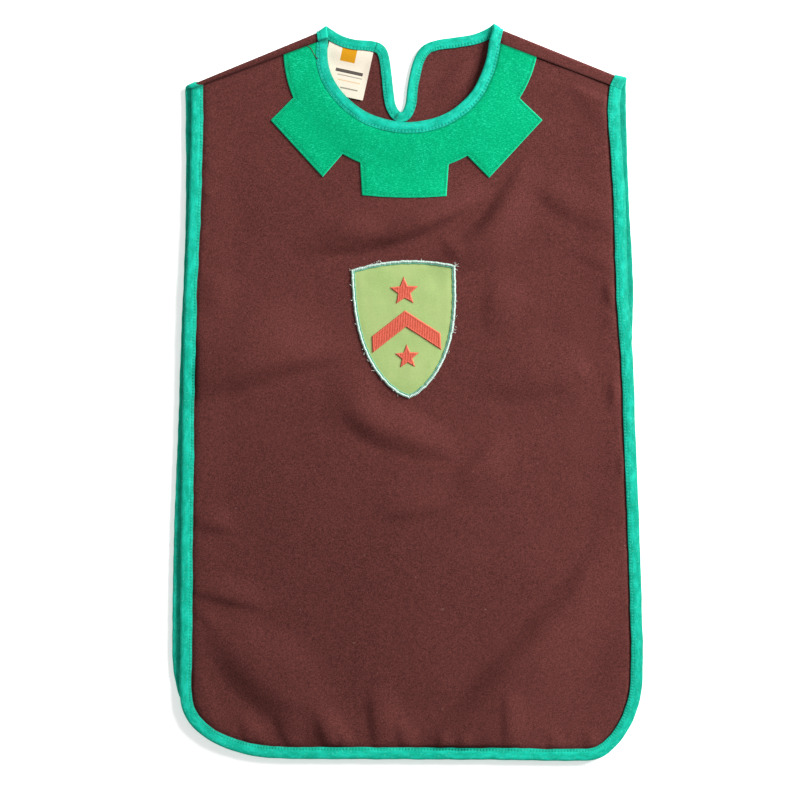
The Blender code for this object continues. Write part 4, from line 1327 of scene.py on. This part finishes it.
def blended(tree, share, first, second):
    """A colour mixed from two by a share."""
    node = added(tree, "ShaderNodeMix", data_type="RGBA")
    for socket, value in ((node.inputs[0], share), (node.inputs[6], first), (node.inputs[7], second)):
        if isinstance(value, bpy.types.NodeSocket):
            tree.links.new(value, socket)
        else:
            socket.default_value = value
    return node.outputs[2]


def tinted(tree, tone, share, weight, colour):
    """A tone with a weight of another colour where a share is 1."""
    return blended(tree, times(tree, share, weight), tone, colour)


def darker(colour, share):
    """A colour with its light cut to a share."""
    return (*(part * share for part in colour[:3]), 1.0)


def grouped(tree, name, build, vector, **spacings):
    """A shared effect placed in a material, reading a vector, with its own spacings."""
    named = {label.capitalize(): value for label, value in spacings.items()}
    group = shared_effect(name, named, build)
    return added(tree, "ShaderNodeGroup", {"Vector": vector, **named}, node_tree=group).outputs


def object_place(tree):
    """The place on the piece, in metres."""
    return added(tree, "ShaderNodeTexCoord").outputs["Object"]


def attribute(tree, name, output="Vector"):
    """An attribute of the piece."""
    return added(tree, "ShaderNodeAttribute", attribute_name=name).outputs[output]


def shaded(tree, tone, weight, dark):
    """A tone darkened by the piece's shade attribute: painted shade, and on the tape also dark joins.
    """
    return tinted(tree, tone, attribute(tree, "shade", "Fac"), weight, dark)


def new_surface(name, roughness=0.5, specular=0.5, sheen=0.0):
    """A new material's nodes, with the values that are the same all over."""
    made = bpy.data.materials.new(name)
    made.use_nodes = True
    values = {"Roughness": roughness, "Specular IOR Level": specular,
              "Sheen Weight": sheen, "Sheen Roughness": 0.45}
    for label, value in values.items():
        made.node_tree.nodes["Principled BSDF"].inputs[label].default_value = value
    return made, made.node_tree


def coloured(made, tone, height, distance):
    """The material with its colour, and with a relief that rises to a distance in metres."""
    tree = made.node_tree
    shader = tree.nodes["Principled BSDF"]
    bump = added(tree, "ShaderNodeBump", {"Height": height, "Distance": distance, "Strength": 1.0})
    tree.links.new(tone, shader.inputs["Base Color"])
    tree.links.new(bump.outputs["Normal"], shader.inputs["Normal"])
    return made


def gabardine(colours):
    """Brown twill for both panels."""
    if "Brown gabardine" in bpy.data.materials:
        return bpy.data.materials["Brown gabardine"]
    made, tree = new_surface("Brown gabardine", 0.92, specular=0.05, sheen=0.02)
    place = object_place(tree)
    weave = grouped(tree, "Twill weave", twill, place, rib=TWILL_RIB, yarn=TWILL_YARN)
    base = colours.cloth
    patch = ramped(tree, noise(tree, place, 9.0, 3.0, 0.55), 0.3, 0.7, -0.04, 0.04)
    # Painted shade: the cloth darker round a place at its lower left
    far = added(tree, "ShaderNodeVectorMath", {0: place, 1: PAINTED_SHADE_PLACE}, operation="DISTANCE")
    used = ramped(tree, far.outputs["Value"], 0.04, 0.27, -0.10, 0.0)
    tint = plus(tree, weave["Tint"], patch, used)
    tone = blended(tree, tint, darker(base, 0.45), darker(base, 1.55))
    lint = ramped(tree, noise(tree, place, 330.0, 1.0, 0.2), 0.80, 0.86, 0.0, 0.35)
    tone = blended(tree, lint, tone, colours.lint)
    # Painted shade where the shade attribute says: beside the tape and along the seams
    tone = shaded(tree, tone, 0.9, darker(base, 0.22))
    return coloured(made, tone, weave["Height"], 0.00006)


def tape_satin(colours):
    """Teal bias tape for all the bindings."""
    made, tree = new_surface("Teal satin tape", specular=0.10)
    way = attribute(tree, "tape_way")
    effect = grouped(tree, "Satin tape", tape_weave, way, rib=TAPE_RIB)
    # Painted highlights: mottled patches, grain and specks lightened towards the highlight colours
    tone = blended(tree, effect["Mottle"], colours.tape, colours.tape_light)
    tone = tinted(tree, tone, effect["Grain"], 0.25, colours.tape_light)
    speck = ramped(tree, noise(tree, way, 620.0, 2.0, 0.6), 0.60, 0.72, 0.0, 0.55)
    tone = blended(tree, speck, tone, colours.tape_speck)
    tone = shaded(tree, tone, 0.85, darker(colours.tape, 0.22))
    gloss = maths(tree, "SUBTRACT", 0.72, times(tree, effect["Mottle"], 0.14))
    tree.links.new(gloss, tree.nodes["Principled BSDF"].inputs["Roughness"])
    return coloured(made, tone, effect["Height"], 0.00008)


def collar_felt(colours):
    """Green felt with pale flecks."""
    made, tree = new_surface("Green felt", 0.95, specular=0.03, sheen=0.04)
    effect = grouped(tree, "Felt flecks", felt_flecks, object_place(tree))
    base = colours.felt
    matted = ramped(tree, effect["Height"], 0.80, 1.20)
    tone = blended(tree, matted, darker(base, 0.86), darker(base, 1.08))
    tone = tinted(tree, tone, effect["Fleck"], 0.7, colours.felt_fleck)
    tone = shaded(tree, tone, 0.9, darker(base, 0.35))
    tone = tinted(tree, tone, attribute(tree, "cut_edge", "Fac"), 0.8, colours.felt_fleck)
    return coloured(made, tone, effect["Height"], 0.00014)


def stitched_satin(name, base, light):
    """Satin stitch whose threads follow the thread_way attribute of the piece."""
    made, tree = new_surface(name, 0.58, specular=0.12, sheen=0.02)
    way = attribute(tree, "thread_way")
    effect = grouped(tree, "Satin threads", satin_threads, way, thread=SATIN_THREAD)
    tone = blended(tree, effect["Tint"], darker(base, 0.70), light)
    tone = shaded(tree, tone, 0.5, darker(base, 0.5))
    # Painted highlight on the ridge along a design's edge, from the outline attribute
    tone = tinted(tree, tone, attribute(tree, "outline", "Fac"), 0.6, light)
    return coloured(made, tone, effect["Height"], 0.00016)


def plain_thread(name, base):
    """Sewing thread: a twist along its length and a soft shine."""
    made, tree = new_surface(name, 0.6, specular=0.1)
    twist = noise(tree, object_place(tree), 1500.0, 2.0, 0.6)
    tone = blended(tree, ramped(tree, twist, 0.3, 0.7), darker(base, 0.8), darker(base, 1.15))
    return coloured(made, tone, twist, 0.00005)


def patch_cloth(colours):
    """Sage green twill of the shield."""
    made, tree = new_surface("Sage patch cloth", 0.9, specular=0.06, sheen=0.02)
    place = object_place(tree)
    weave = grouped(tree, "Twill weave", twill, place, rib=TWILL_RIB, yarn=TWILL_YARN)
    tone = blended(tree, weave["Tint"], darker(colours.patch, 0.90), darker(colours.patch, 1.10))
    broad = ramped(tree, noise(tree, place, 45.0, 3.0, 0.6), 0.3, 0.7)
    tone = tinted(tree, tone, broad, 0.35, colours.patch_light)
    return coloured(made, tone, weave["Height"], 0.00007)


def label_cloth(colours):
    """Cream satin label with a plain gold band and a few plain woven lines."""
    made, tree = new_surface("Cream label", 0.65, specular=0.15, sheen=0.03)
    parts = split(tree, attribute(tree, "label_way"))
    grain = noise(tree, object_place(tree), 700.0, 2.0, 0.6)
    tone = blended(tree, grain, darker(colours.label, 0.94), colours.label)
    for mark in LABEL_MARKS:
        mask = mark.share
        limits = ((parts["X"], mark.left, mark.right), (parts["Y"], mark.top, mark.foot))
        for value, low, high in limits:
            mask = times(tree, mask, maths(tree, "GREATER_THAN", value, low * MM))
            mask = times(tree, mask, maths(tree, "LESS_THAN", value, high * MM))
        tone = blended(tree, mask, tone, getattr(colours, mark.colour))
    return coloured(made, tone, ripple(tree, parts["Y"], LABEL_WEFT), 0.00004)


def pale_floor(colours):
    """Plain pale board under the tabard, with a faint painted glow that lifts the shadows on it."""
    made, tree = new_surface("Pale floor", 0.9, specular=0.1)
    grain = noise(tree, object_place(tree), 14.0, 3.0, 0.5)
    tone = blended(tree, grain, darker(colours.floor, 0.995), colours.floor)
    shader = tree.nodes["Principled BSDF"]
    tree.links.new(tone, shader.inputs["Base Color"])
    shader.inputs["Emission Color"].default_value = colours.floor
    shader.inputs["Emission Strength"].default_value = FLOOR_GLOW
    return made


def dressed(piece, slot, *nodes):
    """Fix a piece to the garment's body, and hide the solids that it stands for. Its slot is not used.
    """
    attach(piece, "root")
    if nodes:
        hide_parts(*nodes)
    return piece


def length_property(name, description, length):
    """A length setting, in metres."""
    return bpy.props.FloatProperty(
        name=name, description=description, default=length, subtype="DISTANCE")


class TabardSizes(bpy.types.PropertyGroup):
    """Sizes that a user may change."""

    cloth: length_property("Cloth", "Thickness of the twill", 0.0007)
    tape: length_property("Tape", "Thickness of the binding tape", 0.0006)
    half_tape: length_property("Bound edge", "Half the thickness of a bound edge", 0.0017)
    side_width: length_property("Edge tape", "Width of the tape on sides and hem", 0.0110)
    front_neck_width: length_property(
        "Front neck tape", "Width of the tape on the front neckline", 0.0105)
    back_neck_width: length_property(
        "Back neck tape", "Width of the tape on the back neckline", 0.0096)
    felt: length_property("Felt", "Thickness of the collar", 0.0011)
    thread: length_property("Thread", "Thickness of the sewing thread", 0.00045)
    sample: length_property(
        "Edge spacing", "Spacing of points along an edge, a quarter stitch", 0.0007)
    front_grid: length_property("Front spacing", "Spacing of points in the front cloth", 0.0032)
    back_grid: length_property("Back spacing", "Spacing of points in the back cloth", 0.0050)


def colour_property(name, description, levels):
    """A colour setting given as levels of 0 to 255."""
    shown = []
    for level in levels:
        share = level / 255
        shown.append(share / 12.92 if share <= 0.04045 else ((share + 0.055) / 1.055) ** 2.4)
    return bpy.props.FloatVectorProperty(
        name=name, description=description, subtype="COLOR", size=4, min=0, max=1,
        default=(*shown, 1.0))


class TabardColours(bpy.types.PropertyGroup):
    """Colours that a user may change."""

    cloth: colour_property("Cloth", "Brown of both panels", (86, 45, 42))
    lint: colour_property("Lint", "Specks of lint on the cloth", (130, 96, 90))
    tape: colour_property("Tape", "Teal of the bindings", (0, 150, 123))
    tape_light: colour_property("Tape highlights", "Where the tape catches light", (21, 188, 161))
    tape_speck: colour_property("Tape specks", "Specks of light on the tape", (106, 214, 190))
    thread: colour_property("Thread", "Sewing thread of the bindings", (44, 178, 150))
    felt: colour_property("Felt", "Green of the collar", (0, 154, 104))
    felt_fleck: colour_property("Felt flecks", "Pale fibres in the felt", (34, 198, 150))
    felt_thread: colour_property("Felt thread", "Sewing thread of the collar", (6, 154, 106))
    patch: colour_property("Patch", "Sage green of the shield", (146, 170, 106))
    patch_light: colour_property("Patch highlights", "Lighter parts of the shield", (164, 176, 120))
    rim: colour_property("Rim", "Pale mint edge of the shield", (128, 186, 164))
    rim_light: colour_property("Rim highlights", "Brightest threads of the edge", (212, 224, 216))
    rim_line: colour_property("Rim line", "Green line inside the edge", (34, 150, 112))
    emblem: colour_property("Emblem", "Coral of the stitched design", (186, 66, 50))
    emblem_light: colour_property("Emblem highlights", "Threads that catch light", (214, 106, 84))
    label: colour_property("Label", "Cream of the neck label", (218, 208, 190))
    gold: colour_property("Gold", "Gold block on the label", (196, 136, 10))
    label_line: colour_property("Label lines", "Plain lines on the label", (62, 56, 52))
    floor: colour_property("Floor", "Pale surface underneath", (250, 250, 250))


def panels():
    """The two panels' cuts, drawn once."""
    if not PANELS:
        sample = bpy.context.scene.tabard_sizes.sample / MM
        PANELS.update(front=Front(sample), back=Back(sample))
    return PANELS["front"], PANELS["back"]


def beside_seams(seam, way, outline):
    """Rows of points close to both shoulder seams, on the side given by the way."""
    rows = [evenly(seam(shoulder, far * way), 1.8) for shoulder in SHOULDERS for far in (0.7, 1.5)]
    points = np.vstack(rows)
    return points[inside(points, outline)]


class TABARD_OT_front_cloth(bpy.types.Operator):
    """Make the front panel's cloth with its soft folds"""

    bl_idname = "tabard.front_cloth"
    bl_label = "Front cloth"

    def execute(self, context):
        sizes, colours = context.scene.tabard_sizes, context.scene.tabard_colours
        front, _ = panels()
        spacing = sizes.front_grid / MM
        outline = outline_of(front, CLOTH_INSET, spacing)
        rings = np.vstack([outline_of(front, TAPE_SIDE + far, 1.8) for far in (-0.9, -0.2, 0.5, 1.5)])
        rings = rings[(seams_side(front.seams, rings) > 2) & (away_from(front.neck, rings) > 14)]
        rings = np.vstack([rings, beside_seams(seam_seen, 1, outline)])
        loose = staggered(outline, spacing)
        loose = loose[nearest(loose, rings) > 1.2]
        cut = triangulated(outline, [], np.vstack([rings, loose]))
        # Painted shade: a dark line just inside the side tape and along the shoulder seams
        tuck = bell(away_from(front.side, cut[0]) - TAPE_SIDE + 0.3, 0.75)
        seam = bell(seams_side(front.seams, cut[0]), 1.2)
        half = sizes.cloth / MM / 2
        piece = shell("front_cloth", cut, front.place, -half, half, gabardine(colours),
                      shade=np.maximum(0.7 * tuck, seam))
        dressed(piece, "front_panel", "front_panel")
        return {"FINISHED"}


def fold_lines(shoulder):
    """Rows of points along a shoulder's fold in the flat cut, from its start round to its end."""
    along, across = along_fold(shoulder), over_fold(shoulder)
    begins = shoulder.neck - across * past_fold(shoulder, shoulder.neck)
    lines = []
    for k in range(FOLD_ROWS + 1):
        shift = across * math.pi * FOLD_RADIUS * k / FOLD_ROWS
        start = begins - along * FOLD_OVERRUN + shift
        end = begins + (shoulder.arm - shoulder.neck) + along * FOLD_OVERRUN + shift
        lines.append(evenly([start, end], 3.0))
    return lines


class TABARD_OT_back_cloth(bpy.types.Operator):
    """Make the back panel's cloth, rolled over the shoulder folds"""

    bl_idname = "tabard.back_cloth"
    bl_label = "Back cloth"

    def execute(self, context):
        sizes, colours = context.scene.tabard_sizes, context.scene.tabard_colours
        _, back = panels()
        spacing = sizes.back_grid / MM
        outline = outline_of(back, CLOTH_INSET, spacing / 2)
        lines = [line for shoulder in SHOULDERS for line in fold_lines(shoulder)]
        beside = beside_seams(seam_unfolded, -1, outline)
        loose = staggered(outline, spacing)
        loose = loose[nearest(loose, np.vstack([*lines, beside])) > 1.8]
        cut = triangulated(outline, lines, np.vstack([loose, beside]))
        half = sizes.cloth / MM / 2
        # Painted shade along the shoulder seams
        piece = shell("back_cloth", cut, back.place, -half, half, gabardine(colours),
                      shade=bell(seams_side(back.seams, cut[0]), 1.5))
        dressed(piece, "back_panel", "back_panel")
        return {"FINISHED"}


class TABARD_OT_bindings(bpy.types.Operator):
    """Fold the teal tape round every edge and sew it on"""

    bl_idname = "tabard.bindings"
    bl_label = "Bindings"

    def execute(self, context):
        sizes, colours = context.scene.tabard_sizes, context.scene.tabard_colours
        front, back = panels()
        teal = tape_satin(colours)
        side, neck = sizes.side_width / MM, sizes.front_neck_width / MM
        back_neck = sizes.back_neck_width / MM
        rows = [
            ("edge_binding_front", front, front.side, side, 31, (), 0.0),
            ("neck_binding_front", front, front.neck, neck, 32, (), 0.0),
            ("edge_binding_back", back, back.side, side, 33, (), BACK_SIDE_PAINTED_SHADE),
            ("neck_binding_back", back, back.neck, back_neck, 34, BACK_NECK_JOINS_AND_PLEAT_SHADE, 0.0),
        ]
        for node, panel, edge, width, seed, joins_and_pleat_shade, painted_right_shade in rows:
            piece = tape(node + "_tape", panel, edge, width, sizes, teal, seed, joins_and_pleat_shade, painted_right_shade)
            dressed(piece, node, node)
        thread = plain_thread("Teal thread", colours.thread)
        sewn = edge_stitches(
            "front_stitching", front, [(front.side, side), (front.neck, neck)], sizes, thread)
        dressed(sewn, "edge_binding_front")
        sewn = edge_stitches(
            "back_stitching", back, [(back.side, side), (back.neck, back_neck)], sizes, thread)
        dressed(sewn, "edge_binding_back")
        return {"FINISHED"}


def collar_cut(front, free, tape_width):
    """Triangles of the collar between the shoulder seams, smaller near its edges."""
    neck, *rings = [
        evenly(front.neck.points + front.neck.inward * (tape_width + far), COLLAR_SPACING)
        for far in (-0.6, 0.1, 0.8, 1.7)
    ]
    outline = np.vstack([free, neck])
    rings = [moved_path(free, far) for far in (0.5, 1.7, COLLAR_STITCH_INSET, 3.1)] + rings
    loose = staggered(outline, 2 * COLLAR_SPACING)
    loose = loose[nearest(loose, np.vstack(rings)) > 1.4]
    rings = [ring[inside(ring, outline)] for ring in rings]
    rings.append(beside_seams(seam_seen, 1, outline))
    rings = [ring[seams_side(front.seams, ring) > 0.5] for ring in rings]
    seams = []
    for line in front.seams:
        row = evenly(line, 2.0)
        past = (row[1] - row[0]) * 12
        seams.append(np.vstack([row[0] - past, row, row[-1] + past]))
    return triangulated(outline, seams, np.vstack([loose, *rings]),
                        keep=lambda middles: seams_side(front.seams, middles) > 0)


class TABARD_OT_collar(bpy.types.Operator):
    """Cut the felt collar with its square tabs and sew it down"""

    bl_idname = "tabard.collar"
    bl_label = "Felt collar"

    def execute(self, context):
        sizes, colours = context.scene.tabard_sizes, context.scene.tabard_colours
        front, _ = panels()
        felt, tape_width = sizes.felt / MM, sizes.front_neck_width / MM
        free = spaced_path(collar_outer_edge(), COLLAR_SPACING)
        cut = collar_cut(front, free, tape_width)
        points, _ = cut
        away = nearest(points, spaced_path(free, 0.5))
        groove = bell(away - COLLAR_STITCH_INSET, 0.7)
        tuck = bell(away_from(front.neck, points) - tape_width, 0.9)
        seam = bell(seams_side(front.seams, points), 1.3)
        full = FELT_EDGE_SHARE + (1 - FELT_EDGE_SHARE) * ease(away / 0.6)
        high = FELT_LEVEL + felt * full - GROOVE_DEPTH * groove
        high = high + relief(points, FELT_RUMPLE) - FELT_TUCK_DEPTH * tuck
        # Painted shade in the stitch groove, at the tape's edge and along the shoulder seam; the free
        # edge is paler
        piece = shell("collar_felt", cut, front.place, FELT_LEVEL, high, collar_felt(colours),
                      shade=np.maximum.reduce([0.27 * groove, 0.67 * tuck, seam]),
                      cut_edge=np.exp(-away / 0.35) * (1 - seam))
        dressed(piece, "collar_applique", "collar_applique")
        path = evenly(moved_path(free, COLLAR_STITCH_INSET), sizes.sample / MM)
        rows = stitch_row(front, path, stitch_places(path, front.seams), FELT_HALF_STITCH,
                          FELT_LEVEL + felt - FELT_STITCH_DROP)
        thread = plain_thread("Green thread", colours.felt_thread)
        sewn = stitches("collar_stitching", rows, sizes.thread / MM, thread)
        dressed(sewn, "collar_applique")
        strand = front.place(evenly(smooth_curve(STRAY_THREAD), 0.8), FELT_LEVEL + felt + 0.1)
        stray = stitches("stray_thread", (strand[:-1], strand[1:], upwards(len(strand) - 1)),
                         STRAY_THICKNESS, plain_thread("Brown thread", colours.cloth))
        dressed(stray, "collar_applique")
        return {"FINISHED"}


def bead(name, panel, outline, centre, width, low, high, surface, twist):
    """A rounded cord of satin stitch that runs round a closed outline."""
    path = spaced_outline(outline, BEAD_STEP)
    stretch = np.arange(len(path)) * BEAD_STEP
    centre = centre + 0.16 * waves(stretch, 3, 16, 52)
    rings = [moved_in(path, centre + width / 2 * offset) for offset in BEAD_OFFSETS]
    points = np.stack([*rings, rings[-1], rings[0]], axis=1)
    lifts = np.array(BEAD_LIFTS)
    upper = lifts > 0.3
    at = stretch[:, None] + twist * np.linspace(0, 1, len(lifts))
    ridge = 0.06 * np.sin(2 * math.pi * at / BEAD_THREAD) * upper
    uneven = 0.10 * waves(stretch, 3, 15, 51)[:, None] * upper
    out = low + (high - low) * lifts + ridge + uneven
    placed = panel.place(points.reshape(-1, 2), out.ravel())
    around = np.broadcast_to(np.linspace(0, width, len(lifts)), at.shape)
    way = np.stack([at, around, np.zeros_like(at)], axis=-1)
    # Painted shade on the underside of the cord
    shade = np.broadcast_to(~upper, at.shape).astype(float)
    return finished(name, placed, swept(*at.shape, closed_along=True), surface, angle=70,
                    thread_way=way.reshape(-1, 3) * MM, shade=shade.ravel())


def loose_threads(front, border, surface):
    """Cut thread ends that stick out round the shield, thicker at its frayed spots."""
    draw = np.random.default_rng(71)
    start, way = [], []
    for spot in FRAYED_SPOTS:
        for _ in range(spot.count):
            near = spot.at + draw.normal(0, spot.spread, 2)
            root = border[np.linalg.norm(border - near, axis=1).argmin()]
            angle = draw.uniform(0, 2 * math.pi)
            start.append(root + draw.uniform(-1.5, 1.5, 2) * (0.8, 0.5))
            way.append(direction(angle) * draw.uniform(1.2, 3.2))
    start, way = np.array(start), np.array(way)
    level = draw.uniform(1.0, 1.8, len(start))
    first, last = front.place(start, level), front.place(start + way, level + 0.3)
    rows = first, last, upwards(len(start))
    return stitches("shield_loose_threads", rows, LOOSE_THREAD, surface)


class TABARD_OT_shield(bpy.types.Operator):
    """Make the shield patch: its cloth, its stitched edge and its loose thread ends"""

    bl_idname = "tabard.shield"
    bl_label = "Shield patch"

    def execute(self, context):
        colours = context.scene.tabard_colours
        front, _ = panels()
        border = shield_outline()
        outline = spaced_outline(moved_in(border, 1.2), 2.0)
        cut = triangulated(outline, [], staggered(outline, 2.0))
        points, _ = cut
        inner = rising(nearest(points, border), 3.2, 5)
        high = PATCH_LEVEL + PATCH_THICKNESS * (PATCH_EDGE_SHARE + (1 - PATCH_EDGE_SHARE) * inner)
        ground = shell("shield_ground", cut, front.place, PATCH_LEVEL,
                       high + relief(points, PATCH_RUMPLE), patch_cloth(colours))
        dressed(ground, "shield_patch", "shield_patch")
        mint = stitched_satin("Mint rim stitch", colours.rim, colours.rim_light)
        edge = bead("shield_rim", front, border, RIM_WIDTH / 2, RIM_WIDTH,
                    PATCH_LEVEL - 0.02, RIM_HEIGHT, mint, twist=0.8)
        dressed(edge, "shield_border", "shield_border")
        green = stitched_satin("Green rim line", colours.rim_line, colours.rim)
        line = bead("shield_rim_line", front, border, RIM_WIDTH + RIM_LINE_WIDTH / 2 - 0.15,
                    RIM_LINE_WIDTH, PATCH_LEVEL + 0.3, RIM_LINE_HEIGHT, green, twist=0.3)
        dressed(line, "shield_border")
        loose = loose_threads(front, border, plain_thread("Mint thread", colours.rim_light))
        dressed(loose, "shield_border")
        return {"FINISHED"}


class TABARD_OT_emblem(bpy.types.Operator):
    """Stitch the chevron and the stars on the shield"""

    bl_idname = "tabard.emblem"
    bl_label = "Stitched emblem"

    def execute(self, context):
        colours = context.scene.tabard_colours
        front, _ = panels()
        satin = stitched_satin("Coral satin stitch", colours.emblem, colours.emblem_light)
        turn = direction(-SHIELD_TILT)
        spin = np.array([turn, left_of(turn)])
        shapes = [("chevron", chevron_outline())]
        shapes += [(star.name, star_outline(star)) for star in STARS]
        for node, outline in shapes:
            fine = spaced_outline(outline, 0.8)
            rings = [spaced_outline(moved_in(outline, far), 0.8) for far in (0.35, 0.9, 1.5)]
            rings = [ring[inside(ring, outline)] for ring in rings]
            loose = staggered(fine, 1.3)
            loose = loose[nearest(loose, np.vstack(rings)) > 0.7]
            cut = triangulated(fine, [], np.vstack([loose, *rings]))
            points, _ = cut
            away = nearest(points, spaced_outline(outline, 0.25))
            ridge, valley = bell(away - 0.85, 0.55), bell(away - 1.75, 0.35)
            high = EMBLEM_LEVEL + EMBLEM_EDGE + EMBLEM_RISE * ease(away / 0.8)
            high = high + EMBLEM_RIDGE * ridge - EMBLEM_VALLEY * valley
            way = np.column_stack([points @ spin, np.zeros(len(points))]) * MM
            # Painted shade in the valley inside the edge, and a painted highlight on the ridge, given
            # as the outline
            piece = shell(node + "_stitch", cut, front.place, EMBLEM_LEVEL, high, satin,
                          thread_way=way, shade=0.7 * valley, outline=ridge)
            dressed(piece, node, node)
        return {"FINISHED"}


class TABARD_OT_label(bpy.types.Operator):
    """Sew the cream label into the back neck"""

    bl_idname = "tabard.label"
    bl_label = "Neck label"

    def execute(self, context):
        sizes, colours = context.scene.tabard_sizes, context.scene.tabard_colours
        _, back = panels()
        outline = spaced_outline(label_outline(), 1.5)
        far = sizes.back_neck_width / MM - 0.5
        line = back.neck.points + back.neck.inward * far
        close = np.linalg.norm(line - LABEL_CENTRE, axis=1) < LABEL_LENGTH
        line = evenly(line[close], 1.5)
        loose = staggered(outline, 2.0)
        loose = loose[nearest(loose, line) > 1.0]
        cut = triangulated(outline, [line], loose,
                           keep=lambda middles: away_from(back.neck, middles) > far)
        turn = direction(LABEL_TILT)
        from_centre = cut[0] - LABEL_CENTRE
        across, down = from_centre @ turn, LABEL_LENGTH / 2 - from_centre @ left_of(turn)
        share = np.clip(down / LABEL_LENGTH, 0, 1)
        curl = LABEL_CURL * share**2 * (0.4 + 0.6 * (across / LABEL_WIDTH * 2) ** 2)
        curl += LABEL_WAVE * np.sin(across / LABEL_WIDTH * 5) * share
        low = LABEL_LEVEL + np.maximum(curl, 0)
        way = np.column_stack([across, down, np.zeros(len(down))]) * MM
        piece = shell("neck_label_cloth", cut, back.place, low, low + LABEL_THICKNESS,
                      label_cloth(colours), label_way=way)
        dressed(piece, "neck_label", "neck_label")
        return {"FINISHED"}


def put(scene, data, place):
    """An object for a camera or a light, at a place in the scene."""
    made = bpy.data.objects.new(data.name, data)
    made.location = place
    scene.collection.objects.link(made)
    return made


class TABARD_OT_stage(bpy.types.Operator):
    """Lay a pale floor, and set the camera and soft studio light"""

    bl_idname = "tabard.stage"
    bl_label = "Stage"

    def execute(self, context):
        scene = context.scene
        bpy.ops.object.select_all(action="DESELECT")
        bpy.ops.mesh.primitive_plane_add(size=FLOOR_SIZE, location=(0, 0, 0))
        floor = context.object
        floor.name = "floor"
        floor.data.materials.append(pale_floor(scene.tabard_colours))

        view = bpy.data.cameras.new("camera")
        view.lens = LENS
        view.clip_end = CLIP_END
        distance = FRAME_WIDTH * LENS / view.sensor_width
        scene.camera = put(scene, view, (VIEW_X, VIEW_Y, distance + FRONT_EDGE_HEIGHT * MM))

        lamp = bpy.data.lights.new("key", "AREA")
        lamp.shape = "DISK"
        lamp.size = KEY_SIZE
        lamp.energy = KEY_POWER
        key = put(scene, lamp, KEY_PLACE)
        x, y, z = KEY_PLACE
        key.rotation_euler = (math.atan2(math.hypot(x, y), z), 0, math.atan2(x, -y))

        world = bpy.data.worlds.new("studio")
        world.use_nodes = True
        background = world.node_tree.nodes["Background"]
        background.inputs["Color"].default_value = (1.0, 1.0, 1.0, 1.0)
        background.inputs["Strength"].default_value = SKY
        scene.world = world
        scene.view_settings.view_transform = "Standard"
        return {"FINISHED"}


OPERATORS = (
    TABARD_OT_front_cloth,
    TABARD_OT_back_cloth,
    TABARD_OT_bindings,
    TABARD_OT_collar,
    TABARD_OT_shield,
    TABARD_OT_emblem,
    TABARD_OT_label,
    TABARD_OT_stage,
)


class TABARD_PT_panel(bpy.types.Panel):
    """List the settings and the steps that dress the tabard"""

    bl_label = "Tabard"
    bl_idname = "TABARD_PT_panel"
    bl_space_type = "VIEW_3D"
    bl_region_type = "UI"
    bl_category = "Tabard"

    def draw(self, context):
        for settings in (context.scene.tabard_sizes, context.scene.tabard_colours):
            box = self.layout.box()
            for name in settings.__annotations__:
                box.prop(settings, name)
        for operator in OPERATORS:
            self.layout.operator(operator.bl_idname)


CLASSES = (TabardSizes, TabardColours, *OPERATORS, TABARD_PT_panel)


def register():
    """Add the classes and their settings to Blender."""
    for made in CLASSES:
        bpy.utils.register_class(made)
    bpy.types.Scene.tabard_sizes = bpy.props.PointerProperty(type=TabardSizes)
    bpy.types.Scene.tabard_colours = bpy.props.PointerProperty(type=TabardColours)


def unregister():
    """Take the classes and their settings out of Blender again."""
    del bpy.types.Scene.tabard_colours
    del bpy.types.Scene.tabard_sizes
    for made in reversed(CLASSES):
        bpy.utils.unregister_class(made)


def main():
    """Register the add-on and run its steps in order."""
    register()
    bpy.ops.tabard.front_cloth()
    bpy.ops.tabard.back_cloth()
    bpy.ops.tabard.bindings()
    bpy.ops.tabard.collar()
    bpy.ops.tabard.shield()
    bpy.ops.tabard.emblem()
    bpy.ops.tabard.label()
    bpy.ops.tabard.stage()


if __name__ == "__main__":
    main()
